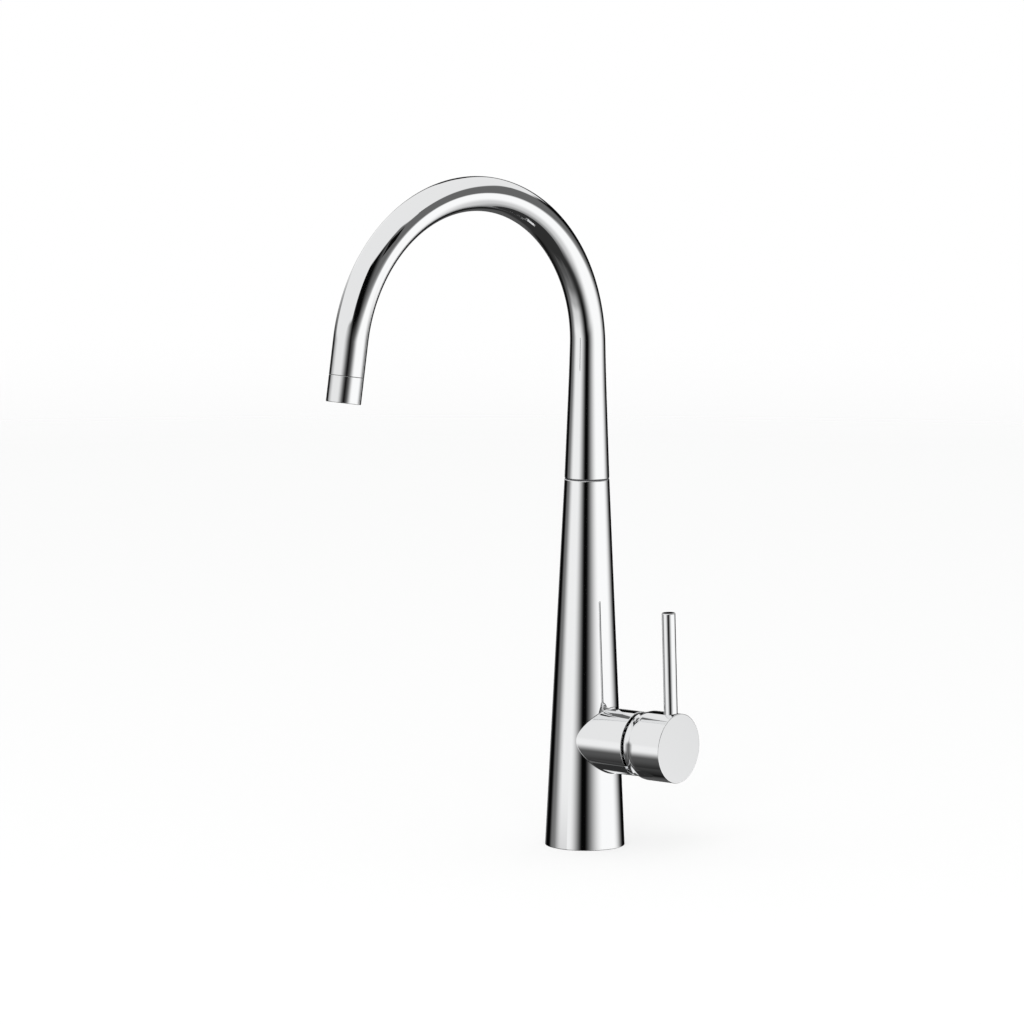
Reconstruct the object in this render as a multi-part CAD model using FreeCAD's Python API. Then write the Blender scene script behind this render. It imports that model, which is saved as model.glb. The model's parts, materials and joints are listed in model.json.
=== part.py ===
import FreeCAD, Part
import math
import os
from FreeCAD import Placement, Rotation, Vector

# Three way filtered water tap. Lengths in millimetres, angles in degrees.
# Origin: centre of the base, on the worktop. +Z is up, +X runs out along the handle's axis.

# ---------------------------------------------------------------- driving sizes
# Tapered body
BASE_RADIUS = 25.8
SEAM_HEIGHT = 238.4
SEAM_RADIUS = 14.5
BODY_WALL = 2.0
EDGE_BEVEL = 0.35

# Swan neck spout
TUBE_RADIUS = 11.0
TUBE_WALL = 1.5
TAPER_TOP = 325.0
ARCH_RADIUS = 101.8
ARCH_SWEEP = 171.2
END_STRAIGHT = 22.2
SPOUT_HEADING = -99.7
OUTLET_LENGTH = 17.0

# Branch, handle cap and lever
BRANCH_HEIGHT = 70.2
COLLAR_REACH = 43.7
COLLAR_WALL = 3.4
JUNCTION_BLEND = 1.0
GROOVE_WIDTH = 2.3
CAP_RADIUS = 22.45
CAP_LENGTH = 28.7
CAP_WALL = 1.5
CAP_WEB = 13.7
FLARE_LENGTH = 8.0
LEVER_RADIUS = 4.4
LEVER_SETBACK = 5.75
LEVER_LENGTH = 87.8
LEVER_LEAN = 2.93
LEVER_STUD_RADIUS = 3.0
LEVER_STUD_FOOT = 9.0
LEVER_TIP_BEVEL = 0.7
TILT_OUT = 20.0

# Three way cartridge, stacked along the branch from its pivot back to its seat
CARTRIDGE_RADIUS = 17.4
CASE_WALL = 1.9
PIVOT_DEPTH = 20.0
BALL_ARM = 6.8
BALL_RADIUS = 2.4
DRIVER_THICKNESS = 4.2
DRIVER_RADIUS = 10.5
DRIVER_HALF_WIDTH = 8.5
DRIVER_PEG_RADIUS = 1.0
DRIVER_PEG_LENGTH = 1.2
DRIVER_PEG_OFFSET = 7.0
DRIVER_PEG_DROP = 5.5
MOVING_DISC_THICKNESS = 3.0
MOVING_DISC_RADIUS = 11.4
FIXED_DISC_THICKNESS = 3.2
FIXED_DISC_RADIUS = 13.4
CHAMBER_DEPTH = 1.2
CHAMBER_SIDE_MARGIN = 0.5
MIXING_CHAMBER_DROP = 2.0
MIXING_LAP = 0.9
FILTER_CHAMBER_HEIGHT = 1.6
FILTER_LAP = 0.3
DISC_STROKE = 2.6
CASE_BASE_THICKNESS = 3.0
CASE_RIM_HEIGHT = 2.8
SEAL_PROUD = 0.2
SEAL_WALL = 0.7
SEAT_PEG_RADIUS = 1.5
SEAT_PEG_LENGTH = 2.5
SEAT_PEG_OFFSET = 12.5
CASE_LENGTH = 28.9
CASE_ROOF = 2.0
CARRIER_ROOF_GAP = 0.3
CARRIER_NECK_RADIUS = 12.5
CARRIER_NECK_PROUD = 2.0
EYE_RADIUS = 4.5
SHANK_HALF_WIDTH = 3.5
SPINDLE_WAIST_RADIUS = 1.7
PIN_RADIUS = 1.5
NUT_LENGTH = 6.0
NUT_SLOTS = 6
NUT_SLOT_WIDTH = 3.0
NUT_SLOT_DEPTH = 1.6
TRIM_PROUD = 4.0
TRIM_WALL = 1.2
TRIM_DOME = 2.7
BOSS_LENGTH = 6.0
BOSS_WALL = 2.5
INSERT_RADIUS = 6.5
INSERT_IN_WEB = 3.4
GRUB_RADIUS = 2.0
GRUB_LENGTH = 5.2
COVER_RADIUS = 2.3
COVER_DEPTH = 1.2

# Ports through the discs: sideways place, height from the branch axis, radius
MIXED_OUT = (0.0, 0.6, 2.4)
HOT_IN = (-4.2, 5.5, 1.8)
COLD_IN = (4.2, 5.5, 1.8)
FILTERED_IN = (-3.6, -6.5, 1.5)
FILTERED_OUT = (4.6, -6.5, 1.5)

# Valve seat and supplies
SEAT_HALF_HEIGHT = 18.0
SUPPLY_INSET = 14.3
SUPPLY_TUBE_RADIUS = 4.0
SUPPLY_TUBE_WALL = 0.8
TUBE_POCKET = 4.0
MIXED_RISER_OFFSET = 7.7
FILTERED_RADIUS = 3.0
FILTERED_WALL = 1.0
FILTERED_TURN_HEIGHT = 11.0

# Base and its three hose ports
MANIFOLD_THICKNESS = 15.0
STUD_HOLE_RADIUS = 3.4
PORT_RADIUS = 4.5
PORT_DEPTH = 10.0
SEAL_INSET = 4.0
SEAL_WIDTH = 2.6
SEAL_DEPTH = 2.0

# Rotary seat of the spout
SOCKET_LENGTH = 46.4
SOCKET_FLOOR = 14.0
RISER_ENTRY = 7.0
TUBE_END_GAP = 0.5
PASSAGE_WALL = 1.0
SOCKET_BORE_RADIUS = 9.45
SOCKET_BOSS_RADIUS = 5.4
SOCKET_BOSS_HEIGHT = 10.0
SPIGOT_RADIUS = 9.0
SPIGOT_BORE_RADIUS = 6.8
SPIGOT_HEAD_LENGTH = 10.0
WASHER_THICKNESS = 0.75
WASHER_RECESS = 0.35
GLIDE_GROOVE_DEPTH = 0.8
GLIDE_LENGTH = 4.0
GLIDE_RING_DROPS = (5.4, 23.4)
O_RING_SECTION = 0.8
O_RING_DROPS = (10.4, 15.4)
O_RING_SIDE_GAP = 0.25
CLIP_DROP = 27.6
CLIP_THICKNESS = 1.4
CLIP_DEPTH = 0.9
CLIP_BITE = 0.45
CLIP_MOUTH = 40.0
INNER_RING_SECTION = 0.6
INNER_RING_DROP = 4.0

# Outlet, measured from the spout's end towards the mouth
OUTLET_SOCKET = 7.0
OUTLET_WALL = 1.3
OUTLET_LIP = 1.4
OUTLET_LIP_WIDTH = 0.8
OUTLET_SEAL_THICKNESS = 0.3
OUTLET_SEAL_RECESS = 0.2
SCREEN_PLACE = 5.0
SCREEN_THICKNESS = 0.8
SCREEN_HOLES = 12
SCREEN_HOLE_RADIUS = 0.9
FINS_LENGTH = 9.0
FIN_THICKNESS = 0.6
FIN_COUNT = 12
FINS_RIM = 0.9
NOZZLE_WALL = 0.8
NOZZLE_BORE = 1.6
NOZZLE_RECESS = 0.6
HOSE_IN_NOZZLE = 4.0

# Clearances
FIXED_GAP = 0.05
RUNNING_GAP = 0.05
DISC_GAP = 0.03
BALL_GAP = 0.2
TURN_GAP = 0.1
FREE_GAP = 0.3
CUT_MARGIN = 1.0

# ---------------------------------------------------------------- places that follow
pivot_x = COLLAR_REACH - PIVOT_DEPTH
ball_x = pivot_x - BALL_ARM
driver_x = ball_x - BALL_RADIUS - FREE_GAP
moving_disc_x = driver_x - MOVING_DISC_THICKNESS
fixed_disc_x = moving_disc_x - DISC_GAP - FIXED_DISC_THICKNESS
case_base_x = fixed_disc_x - CASE_BASE_THICKNESS
seat_x = case_base_x - SEAL_PROUD
case_top_x = fixed_disc_x + CASE_LENGTH - CASE_BASE_THICKNESS
nut_top_x = case_top_x + NUT_LENGTH
trim_top_x = COLLAR_REACH + TRIM_PROUD
cap_rear_x = COLLAR_REACH + GROOVE_WIDTH
cap_face_x = cap_rear_x + CAP_LENGTH
web_x = cap_face_x - CAP_WEB
boss_x = web_x - BOSS_LENGTH
insert_top_x = web_x + INSERT_IN_WEB
lever_x = cap_face_x - LEVER_SETBACK
grub_x = boss_x + BOSS_LENGTH / 2

collar_bore = CARTRIDGE_RADIUS + RUNNING_GAP
collar_radius = collar_bore + COLLAR_WALL
case_bore = CARTRIDGE_RADIUS - CASE_WALL
carrier_radius = case_bore - RUNNING_GAP

supply_offset = BASE_RADIUS - SUPPLY_INSET
seal_outer = BASE_RADIUS - SEAL_INSET
seal_inner = seal_outer - SEAL_WIDTH
seat_bottom = BRANCH_HEIGHT - SEAT_HALF_HEIGHT
seat_top = BRANCH_HEIGHT + SEAT_HALF_HEIGHT
supply_bore = SUPPLY_TUBE_RADIUS - SUPPLY_TUBE_WALL
filtered_bore = FILTERED_RADIUS - FILTERED_WALL

socket_bottom = SEAM_HEIGHT - SOCKET_LENGTH
socket_floor_top = socket_bottom + SOCKET_FLOOR
filtered_riser_top = socket_bottom + RISER_ENTRY
socket_boss_top = socket_floor_top + SOCKET_BOSS_HEIGHT
socket_radius = SEAM_RADIUS - BODY_WALL
spout_foot = SEAM_HEIGHT + WASHER_THICKNESS + RUNNING_GAP
spigot_bottom = socket_floor_top + CUT_MARGIN
spigot_head_top = spout_foot + SPIGOT_HEAD_LENGTH
glide_radius = SOCKET_BORE_RADIUS - RUNNING_GAP
glide_inner = SPIGOT_RADIUS - GLIDE_GROOVE_DEPTH
o_ring_radius = glide_radius - O_RING_SECTION

UP = Vector(0, 0, 1)
OUT = Vector(1, 0, 0)
SIDE = Vector(0, 1, 0)
BRANCH = Vector(0, 0, BRANCH_HEIGHT)


# ---------------------------------------------------------------- small tools
def body_radius(z):
    """Outer radius of the tapered body at height z."""
    return BASE_RADIUS + (SEAM_RADIUS - BASE_RADIUS) * z / SEAM_HEIGHT


def neck_radius(z):
    """Outer radius of the spout's tapered foot at height z."""
    share = (z - SEAM_HEIGHT) / (TAPER_TOP - SEAM_HEIGHT)
    return SEAM_RADIUS + (TUBE_RADIUS - SEAM_RADIUS) * share


def outline(steps, to_point):
    """Closed face through steps: two numbers are a corner, four are an arc's middle and end."""
    points = [to_point(*step[-2:]) for step in steps]
    edges = []
    for index, step in enumerate(steps):
        start = points[index - 1]
        end = points[index]
        if len(step) == 4:
            edges.append(Part.Arc(start, to_point(*step[:2]), end).toShape())
        else:
            edges.append(Part.LineSegment(start, end).toShape())
    return Part.Face(Part.Wire(edges))


def turned(steps):
    """Solid of revolution about the upright axis from (radius, height) steps."""
    face = outline(steps, lambda radius, height: Vector(radius, 0, height))
    return face.revolve(Vector(0, 0, 0), UP, 360)


def turned_on_branch(steps):
    """Solid of revolution about the branch axis from (x, radius) steps."""
    face = outline(steps, lambda x, radius: Vector(x, 0, BRANCH_HEIGHT + radius))
    return face.revolve(BRANCH, OUT, 360)


def tube(outer, inner, bottom, top, x=0.0, y=0.0):
    """Upright tube."""
    place = Vector(x, y, bottom)
    wall = Part.makeCylinder(outer, top - bottom, place, UP)
    return wall.cut(Part.makeCylinder(inner, top - bottom, place, UP))


def upright(radius, bottom, top, x=0.0, y=0.0):
    """Upright cylinder."""
    return Part.makeCylinder(radius, top - bottom, Vector(x, y, bottom), UP)


def along_branch(radius, start, end, side=0.0, height=0.0):
    """Cylinder along the branch, with its axis offset from the branch axis."""
    return Part.makeCylinder(radius, end - start, Vector(start, side, BRANCH_HEIGHT + height), OUT)


def between(radius, start, end):
    """Cylinder from one point to another."""
    line = end - start
    return Part.makeCylinder(radius, line.Length, start, line)


def branch_block(start, end, half_width, low, high):
    """Box along the branch, with low and high measured from the branch axis."""
    corner = Vector(start, -half_width, BRANCH_HEIGHT + low)
    return Part.makeBox(end - start, 2 * half_width, high - low, corner)


def inside_body(bottom, top, inset):
    """The tapered body's solid between two heights, drawn in by inset."""
    lower = body_radius(bottom) - inset
    upper = body_radius(top) - inset
    return Part.makeCone(lower, upper, top - bottom, Vector(0, 0, bottom), UP)


def arch(radius, foot, end_length):
    """Round bar from height foot up the axis, over the arch and down its straight end."""
    sweep = math.radians(ARCH_SWEEP)
    rising = upright(radius, foot, TAPER_TOP)
    circle = Part.Wire(Part.makeCircle(radius, Vector(0, 0, TAPER_TOP), UP))
    bend = Part.Face(circle).revolve(Vector(ARCH_RADIUS, 0, TAPER_TOP), SIDE, ARCH_SWEEP)
    direction = Vector(math.sin(sweep), 0, math.cos(sweep))
    start = Vector(ARCH_RADIUS * (1 - math.cos(sweep)), 0, TAPER_TOP + ARCH_RADIUS * math.sin(sweep))
    falling = Part.makeCylinder(radius, end_length, start, direction)
    return rising.fuse([bend, falling]).removeSplitter()


def headed(shape):
    """Turns a shape built with its spout along +X to the spout's heading."""
    return shape.rotate(Vector(0, 0, 0), UP, SPOUT_HEADING)


def at_outlet(shape):
    """Moves a shape built upright at the origin to the end of the spout, pointing out of the mouth."""
    sweep = math.radians(ARCH_SWEEP)
    end = Vector(
        ARCH_RADIUS * (1 - math.cos(sweep)) + END_STRAIGHT * math.sin(sweep),
        0,
        TAPER_TOP + ARCH_RADIUS * math.sin(sweep) + END_STRAIGHT * math.cos(sweep),
    )
    shape.Placement = Placement(end, Rotation(SIDE, ARCH_SWEEP))
    return headed(shape)


def leaned(shape):
    """Turns a shape built with the lever upright to the lever's resting lean."""
    return shape.rotate(BRANCH, OUT, LEVER_LEAN)


def ring(middle_radius, section, height):
    """Round-section ring about the upright axis."""
    return Part.makeTorus(middle_radius, section, Vector(0, 0, height), UP)


# ---------------------------------------------------------------- fixed body
def body_skin():
    """The body's outer form, blended where the branch leaves the taper."""
    top = SEAM_HEIGHT
    skin = turned([
        (0, 0),
        (BASE_RADIUS - EDGE_BEVEL, 0),
        (body_radius(EDGE_BEVEL), EDGE_BEVEL),
        (body_radius(top - EDGE_BEVEL), top - EDGE_BEVEL),
        (SEAM_RADIUS - EDGE_BEVEL, top),
        (0, top),
    ])
    collar = turned_on_branch([
        (0, 0),
        (0, collar_radius),
        (COLLAR_REACH - EDGE_BEVEL, collar_radius),
        (COLLAR_REACH, collar_radius - EDGE_BEVEL),
        (COLLAR_REACH, 0),
    ])
    solid = skin.fuse(collar)
    junction = [edge for edge in solid.Edges if isinstance(edge.Curve, Part.BSplineCurve)]
    return solid.makeFillet(JUNCTION_BLEND, junction)


def body_shell():
    hollow = inside_body(0, socket_bottom, BODY_WALL)
    neck = upright(socket_radius, socket_bottom, SEAM_HEIGHT)
    bore = along_branch(collar_bore, 0, COLLAR_REACH)
    return body_skin().cut([hollow, neck, bore])


def supply_places():
    """Names and places of the three supplies: hot in front, cold behind, filtered opposite the handle."""
    return {
        "hot": (0.0, -supply_offset),
        "cold": (0.0, supply_offset),
        "filtered": (-supply_offset, 0.0),
    }


def inlet_manifold():
    block = inside_body(0, MANIFOLD_THICKNESS, BODY_WALL + FIXED_GAP)
    cuts = [upright(STUD_HOLE_RADIUS, 0, MANIFOLD_THICKNESS)]
    for x, y in supply_places().values():
        cuts.append(upright(PORT_RADIUS, 0, PORT_DEPTH, x, y))
        cuts.append(upright(supply_bore, PORT_DEPTH, MANIFOLD_THICKNESS, x, y))
        pocket = SUPPLY_TUBE_RADIUS + FIXED_GAP
        cuts.append(upright(pocket, MANIFOLD_THICKNESS - TUBE_POCKET, MANIFOLD_THICKNESS, x, y))
    cuts.append(tube(seal_outer, seal_inner, 0, SEAL_DEPTH))
    return block.cut(cuts)


def base_seal():
    return tube(seal_outer - FIXED_GAP, seal_inner + FIXED_GAP, 0, SEAL_DEPTH)


def supply_tube(x, y):
    foot = MANIFOLD_THICKNESS - TUBE_POCKET
    return tube(SUPPLY_TUBE_RADIUS, supply_bore, foot, seat_bottom + TUBE_POCKET, x, y)


def cartridge_seat():
    block = inside_body(seat_bottom, seat_top, BODY_WALL + FIXED_GAP)
    wide = 2 * BASE_RADIUS
    front = Part.makeBox(wide, 2 * wide, wide, Vector(seat_x, -wide, seat_bottom - CUT_MARGIN))
    pocket = SUPPLY_TUBE_RADIUS + FIXED_GAP
    cuts = [front]
    for x, y in supply_places().values():
        cuts.append(upright(pocket, seat_bottom, seat_bottom + TUBE_POCKET, x, y))
    for side, height, radius in (HOT_IN, COLD_IN):
        z = BRANCH_HEIGHT + height
        supply_y = math.copysign(supply_offset, side)
        cuts.append(along_branch(radius, 0, seat_x, side, height))
        cuts.append(between(radius, Vector(0, side, z), Vector(0, supply_y, z)))
        cuts.append(upright(radius, seat_bottom, z, 0, supply_y))
    side, height, radius = FILTERED_IN
    z = BRANCH_HEIGHT + height
    cuts.append(along_branch(radius, -supply_offset, seat_x, side, height))
    cuts.append(between(radius, Vector(-supply_offset, side, z), Vector(-supply_offset, 0, z)))
    cuts.append(upright(radius, seat_bottom, z, -supply_offset, 0))
    side, height, radius = MIXED_OUT
    cuts.append(along_branch(radius, -MIXED_RISER_OFFSET, seat_x, side, height))
    cuts.append(upright(radius, BRANCH_HEIGHT + height, seat_top, -MIXED_RISER_OFFSET, 0))
    cuts.append(upright(pocket, seat_top - TUBE_POCKET, seat_top, -MIXED_RISER_OFFSET, 0))
    side, height, radius = FILTERED_OUT
    turn = BRANCH_HEIGHT + FILTERED_TURN_HEIGHT
    cuts.append(along_branch(radius, -side, seat_x, side, height))
    cuts.append(upright(radius, BRANCH_HEIGHT + height, turn, -side, side))
    cuts.append(between(radius, Vector(-side, side, turn), Vector(0, 0, turn)))
    cuts.append(upright(radius, turn, seat_top, 0, 0))
    cuts.append(upright(FILTERED_RADIUS + FIXED_GAP, seat_top - TUBE_POCKET, seat_top, 0, 0))
    for side in (-SEAT_PEG_OFFSET, SEAT_PEG_OFFSET):
        cuts.append(along_branch(SEAT_PEG_RADIUS + FIXED_GAP, seat_x - SEAT_PEG_LENGTH, seat_x, side))
    return block.cut(cuts)


def mixed_riser_tube():
    top = socket_bottom + TUBE_POCKET
    return tube(SUPPLY_TUBE_RADIUS, supply_bore, seat_top - TUBE_POCKET, top, -MIXED_RISER_OFFSET, 0)


def filtered_riser_tube():
    return tube(FILTERED_RADIUS, filtered_bore, seat_top - TUBE_POCKET, filtered_riser_top)


# ---------------------------------------------------------------- rotary seat
def swivel_socket():
    body = upright(socket_radius - FIXED_GAP, socket_bottom, SEAM_HEIGHT)
    bore = tube(SOCKET_BORE_RADIUS, SOCKET_BOSS_RADIUS, socket_floor_top, socket_boss_top)
    upper_bore = upright(SOCKET_BORE_RADIUS, socket_boss_top, SEAM_HEIGHT)
    centre = upright(FILTERED_RADIUS + RUNNING_GAP, socket_bottom, socket_boss_top)
    pocket_radius = SUPPLY_TUBE_RADIUS + FIXED_GAP
    pocket = upright(pocket_radius, socket_bottom, socket_bottom + TUBE_POCKET, -MIXED_RISER_OFFSET, 0)
    passage_radius = (SOCKET_BORE_RADIUS - FILTERED_RADIUS - PASSAGE_WALL) / 2
    passage_x = -(SOCKET_BORE_RADIUS - passage_radius)
    passage = upright(passage_radius, socket_bottom + TUBE_POCKET, socket_floor_top, passage_x, 0)
    groove_height = socket_boss_top - INNER_RING_DROP
    groove_half = INNER_RING_SECTION + O_RING_SIDE_GAP
    groove_radius = FILTERED_RADIUS + RUNNING_GAP + 2 * INNER_RING_SECTION
    groove = upright(groove_radius, groove_height - groove_half, groove_height + groove_half)
    clip_height = SEAM_HEIGHT - CLIP_DROP
    clip_half = CLIP_THICKNESS / 2 + TURN_GAP
    clip_groove = tube(
        SOCKET_BORE_RADIUS + CLIP_BITE + RUNNING_GAP,
        SOCKET_BORE_RADIUS - TURN_GAP,
        clip_height - clip_half,
        clip_height + clip_half,
    )
    return body.cut([bore, upper_bore, centre, pocket, passage, groove, clip_groove])


def filter_tube_seal():
    middle = FILTERED_RADIUS + RUNNING_GAP + INNER_RING_SECTION
    return ring(middle, INNER_RING_SECTION - RUNNING_GAP, socket_boss_top - INNER_RING_DROP)


def swivel_washer():
    top = SEAM_HEIGHT + WASHER_THICKNESS
    return tube(SEAM_RADIUS - WASHER_RECESS, SOCKET_BORE_RADIUS + TURN_GAP, SEAM_HEIGHT, top)


# ---------------------------------------------------------------- cartridge, fixed pieces
def disc_ports():
    return (MIXED_OUT, HOT_IN, COLD_IN, FILTERED_IN, FILTERED_OUT)


def cartridge_base():
    plate = along_branch(CARTRIDGE_RADIUS, case_base_x, fixed_disc_x)
    rim_top = fixed_disc_x + CASE_RIM_HEIGHT
    rim = along_branch(case_bore - FIXED_GAP, fixed_disc_x, rim_top)
    rim = rim.cut(along_branch(FIXED_DISC_RADIUS + FIXED_GAP, fixed_disc_x, rim_top))
    pegs = [
        along_branch(SEAT_PEG_RADIUS, case_base_x - SEAT_PEG_LENGTH, case_base_x, side)
        for side in (-SEAT_PEG_OFFSET, SEAT_PEG_OFFSET)
    ]
    holes = [
        along_branch(radius + SEAL_WALL + FIXED_GAP, case_base_x, fixed_disc_x, side, height)
        for side, height, radius in disc_ports()
    ]
    return plate.fuse([rim] + pegs).cut(holes)


def port_seals():
    seals = []
    for side, height, radius in disc_ports():
        outer = along_branch(radius + SEAL_WALL, seat_x, fixed_disc_x, side, height)
        seals.append(outer.cut(along_branch(radius, seat_x, fixed_disc_x, side, height)))
    return Part.makeCompound(seals)


def fixed_disc():
    end = fixed_disc_x + FIXED_DISC_THICKNESS
    disc = along_branch(FIXED_DISC_RADIUS, fixed_disc_x, end)
    holes = [
        along_branch(radius, fixed_disc_x, end, side, height)
        for side, height, radius in disc_ports()
    ]
    return disc.cut(holes)


def cartridge_housing():
    sleeve = along_branch(CARTRIDGE_RADIUS, fixed_disc_x, case_top_x)
    inside = along_branch(case_bore, fixed_disc_x, case_top_x - CASE_ROOF)
    mouth = along_branch(CARRIER_NECK_RADIUS + RUNNING_GAP, fixed_disc_x, case_top_x)
    return sleeve.cut([inside, mouth])


def cartridge_nut():
    inner = CARRIER_NECK_RADIUS + FREE_GAP
    nut = along_branch(CARTRIDGE_RADIUS, case_top_x, nut_top_x)
    nut = nut.cut(along_branch(inner, case_top_x, nut_top_x))
    slots = []
    for index in range(NUT_SLOTS):
        slot_x = nut_top_x - NUT_SLOT_DEPTH
        half = NUT_SLOT_WIDTH / 2
        slot = branch_block(slot_x, nut_top_x, half, inner - CUT_MARGIN, CARTRIDGE_RADIUS + CUT_MARGIN)
        slots.append(slot.rotate(BRANCH, OUT, 360 / NUT_SLOTS * index))
    return nut.cut(slots)


def neck_trim():
    outer = CARTRIDGE_RADIUS - TRIM_WALL / 2
    inner = outer - TRIM_WALL
    shoulder = outer - TRIM_DOME
    dome_x = trim_top_x - TRIM_DOME
    small = TRIM_DOME - TRIM_WALL
    diagonal = math.sqrt(0.5)
    lip = shoulder - TRIM_WALL / 2
    return turned_on_branch([
        (nut_top_x, inner),
        (nut_top_x, CARTRIDGE_RADIUS),
        (COLLAR_REACH - EDGE_BEVEL, CARTRIDGE_RADIUS),
        (COLLAR_REACH - EDGE_BEVEL, outer),
        (dome_x, outer),
        (dome_x + TRIM_DOME * diagonal, shoulder + TRIM_DOME * diagonal, trim_top_x, shoulder),
        (trim_top_x, lip),
        (trim_top_x - TRIM_WALL, lip),
        (trim_top_x - TRIM_WALL, shoulder),
        (dome_x + small * diagonal, shoulder + small * diagonal, dome_x, inner),
    ])


# ---------------------------------------------------------------- cartridge, moving pieces
def cartridge_carrier():
    skirt_x = moving_disc_x + TURN_GAP
    roof_x = case_top_x - CASE_ROOF - CARRIER_ROOF_GAP
    neck_top_x = case_top_x + CARRIER_NECK_PROUD
    body = along_branch(carrier_radius, skirt_x, roof_x)
    body = body.fuse(along_branch(CARRIER_NECK_RADIUS, roof_x, neck_top_x))
    disc_room = along_branch(MOVING_DISC_RADIUS + DISC_STROKE, skirt_x, driver_x + TURN_GAP)
    slide_top = driver_x + DRIVER_THICKNESS + FREE_GAP
    slide_half = DRIVER_HALF_WIDTH + RUNNING_GAP
    slide_reach = DRIVER_RADIUS + DISC_STROKE
    slideway = branch_block(skirt_x, slide_top, slide_half, -slide_reach, slide_reach)
    slideway = slideway.common(along_branch(slide_reach, skirt_x, slide_top))
    tilt = math.radians(TILT_OUT)
    eye_room = EYE_RADIUS + FREE_GAP
    shank_room = SHANK_HALF_WIDTH / math.cos(tilt) + FREE_GAP
    mouth_room = shank_room + (neck_top_x - pivot_x) * math.tan(tilt)
    slot_half = SHANK_HALF_WIDTH + RUNNING_GAP
    corners = [
        (slide_top - CUT_MARGIN, eye_room),
        (pivot_x, eye_room),
        (neck_top_x, mouth_room),
    ]
    upper = [Vector(x, -slot_half, BRANCH_HEIGHT + height) for x, height in corners]
    lower = [Vector(x, -slot_half, BRANCH_HEIGHT - height) for x, height in reversed(corners)]
    slot = Part.Face(Part.makePolygon(upper + lower + upper[:1]))
    slot = slot.extrude(Vector(0, 2 * slot_half, 0))
    reach = carrier_radius - RUNNING_GAP
    pin_hole = Part.makeCylinder(PIN_RADIUS, 2 * reach, Vector(pivot_x, -reach, BRANCH_HEIGHT), SIDE)
    return leaned(body.cut([disc_room, slideway, slot, pin_hole]))


def pivot_pin():
    reach = carrier_radius - RUNNING_GAP
    pin = Part.makeCylinder(PIN_RADIUS, 2 * reach, Vector(pivot_x, -reach, BRANCH_HEIGHT), SIDE)
    return leaned(pin)


def driver_pegs(radius):
    """The two pegs that key the driver into the moving disc."""
    return [
        along_branch(radius, driver_x - DRIVER_PEG_LENGTH, driver_x, side, -DRIVER_PEG_DROP)
        for side in (-DRIVER_PEG_OFFSET, DRIVER_PEG_OFFSET)
    ]


def moving_disc():
    disc = along_branch(MOVING_DISC_RADIUS, moving_disc_x, driver_x)
    floor = moving_disc_x + CHAMBER_DEPTH
    mixing_half = COLD_IN[0] + COLD_IN[2] + CHAMBER_SIDE_MARGIN
    mixing_low = MIXED_OUT[1] - MIXING_CHAMBER_DROP
    mixing_top = HOT_IN[1] - HOT_IN[2] - MIXING_LAP
    mixing_chamber = branch_block(moving_disc_x, floor, mixing_half, mixing_low, mixing_top)
    filter_half = FILTERED_OUT[0] + FILTERED_OUT[2] - CHAMBER_SIDE_MARGIN
    filter_low = FILTERED_IN[1] + FILTERED_IN[2] + FILTER_LAP
    filter_top = filter_low + FILTER_CHAMBER_HEIGHT
    filter_chamber = branch_block(moving_disc_x, floor, filter_half, filter_low, filter_top)
    cuts = [mixing_chamber, filter_chamber] + driver_pegs(DRIVER_PEG_RADIUS + FIXED_GAP)
    return leaned(disc.cut(cuts))


def disc_driver():
    end = driver_x + DRIVER_THICKNESS
    plate = branch_block(driver_x, end, DRIVER_HALF_WIDTH, -DRIVER_RADIUS, DRIVER_RADIUS)
    plate = plate.common(along_branch(DRIVER_RADIUS, driver_x, end))
    socket = along_branch(BALL_RADIUS + BALL_GAP, driver_x, end)
    return leaned(plate.fuse(driver_pegs(DRIVER_PEG_RADIUS)).cut(socket))


def spindle():
    ball = Part.makeSphere(BALL_RADIUS, Vector(ball_x, 0, BRANCH_HEIGHT))
    waist = along_branch(SPINDLE_WAIST_RADIUS, ball_x, pivot_x)
    half = SHANK_HALF_WIDTH
    eye = Part.makeCylinder(EYE_RADIUS, 2 * half, Vector(pivot_x, -half, BRANCH_HEIGHT), SIDE)
    shank = branch_block(pivot_x, insert_top_x - FREE_GAP, half, -half, half)
    reach = 2 * half
    hole_radius = PIN_RADIUS + RUNNING_GAP
    hole = Part.makeCylinder(hole_radius, 2 * reach, Vector(pivot_x, -reach, BRANCH_HEIGHT), SIDE)
    return leaned(ball.fuse([waist, eye, shank]).cut(hole))


# ---------------------------------------------------------------- handle
def flare(start_x, start_radius, rise):
    """Two tangent arcs that lift a profile by rise over the flare's length."""
    half_x = FLARE_LENGTH / 2
    half_rise = rise / 2
    bend = (half_x ** 2 + half_rise ** 2) / (2 * half_rise)
    middle = math.asin(half_x / bend) / 2
    mid_x = bend * math.sin(middle)
    mid_rise = bend * (1 - math.cos(middle))
    return [
        (start_x + mid_x, start_radius + mid_rise, start_x + half_x, start_radius + half_rise),
        (
            start_x + FLARE_LENGTH - mid_x,
            start_radius + rise - mid_rise,
            start_x + FLARE_LENGTH,
            start_radius + rise,
        ),
    ]


def cap_skin():
    """The cap's outer form, without its hollow."""
    start_x = cap_rear_x + EDGE_BEVEL
    rise = CAP_RADIUS - collar_radius
    return turned_on_branch([
        (cap_rear_x, 0),
        (cap_rear_x, collar_radius - EDGE_BEVEL),
        (start_x, collar_radius),
    ] + flare(start_x, collar_radius, rise) + [
        (cap_face_x - EDGE_BEVEL, CAP_RADIUS),
        (cap_face_x, CAP_RADIUS - EDGE_BEVEL),
        (cap_face_x, 0),
    ])


def grub_line(radius, low, high):
    """Cylinder square to the branch axis, under the handle's boss."""
    return Part.makeCylinder(radius, high - low, Vector(grub_x, 0, BRANCH_HEIGHT - high), UP)


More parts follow.
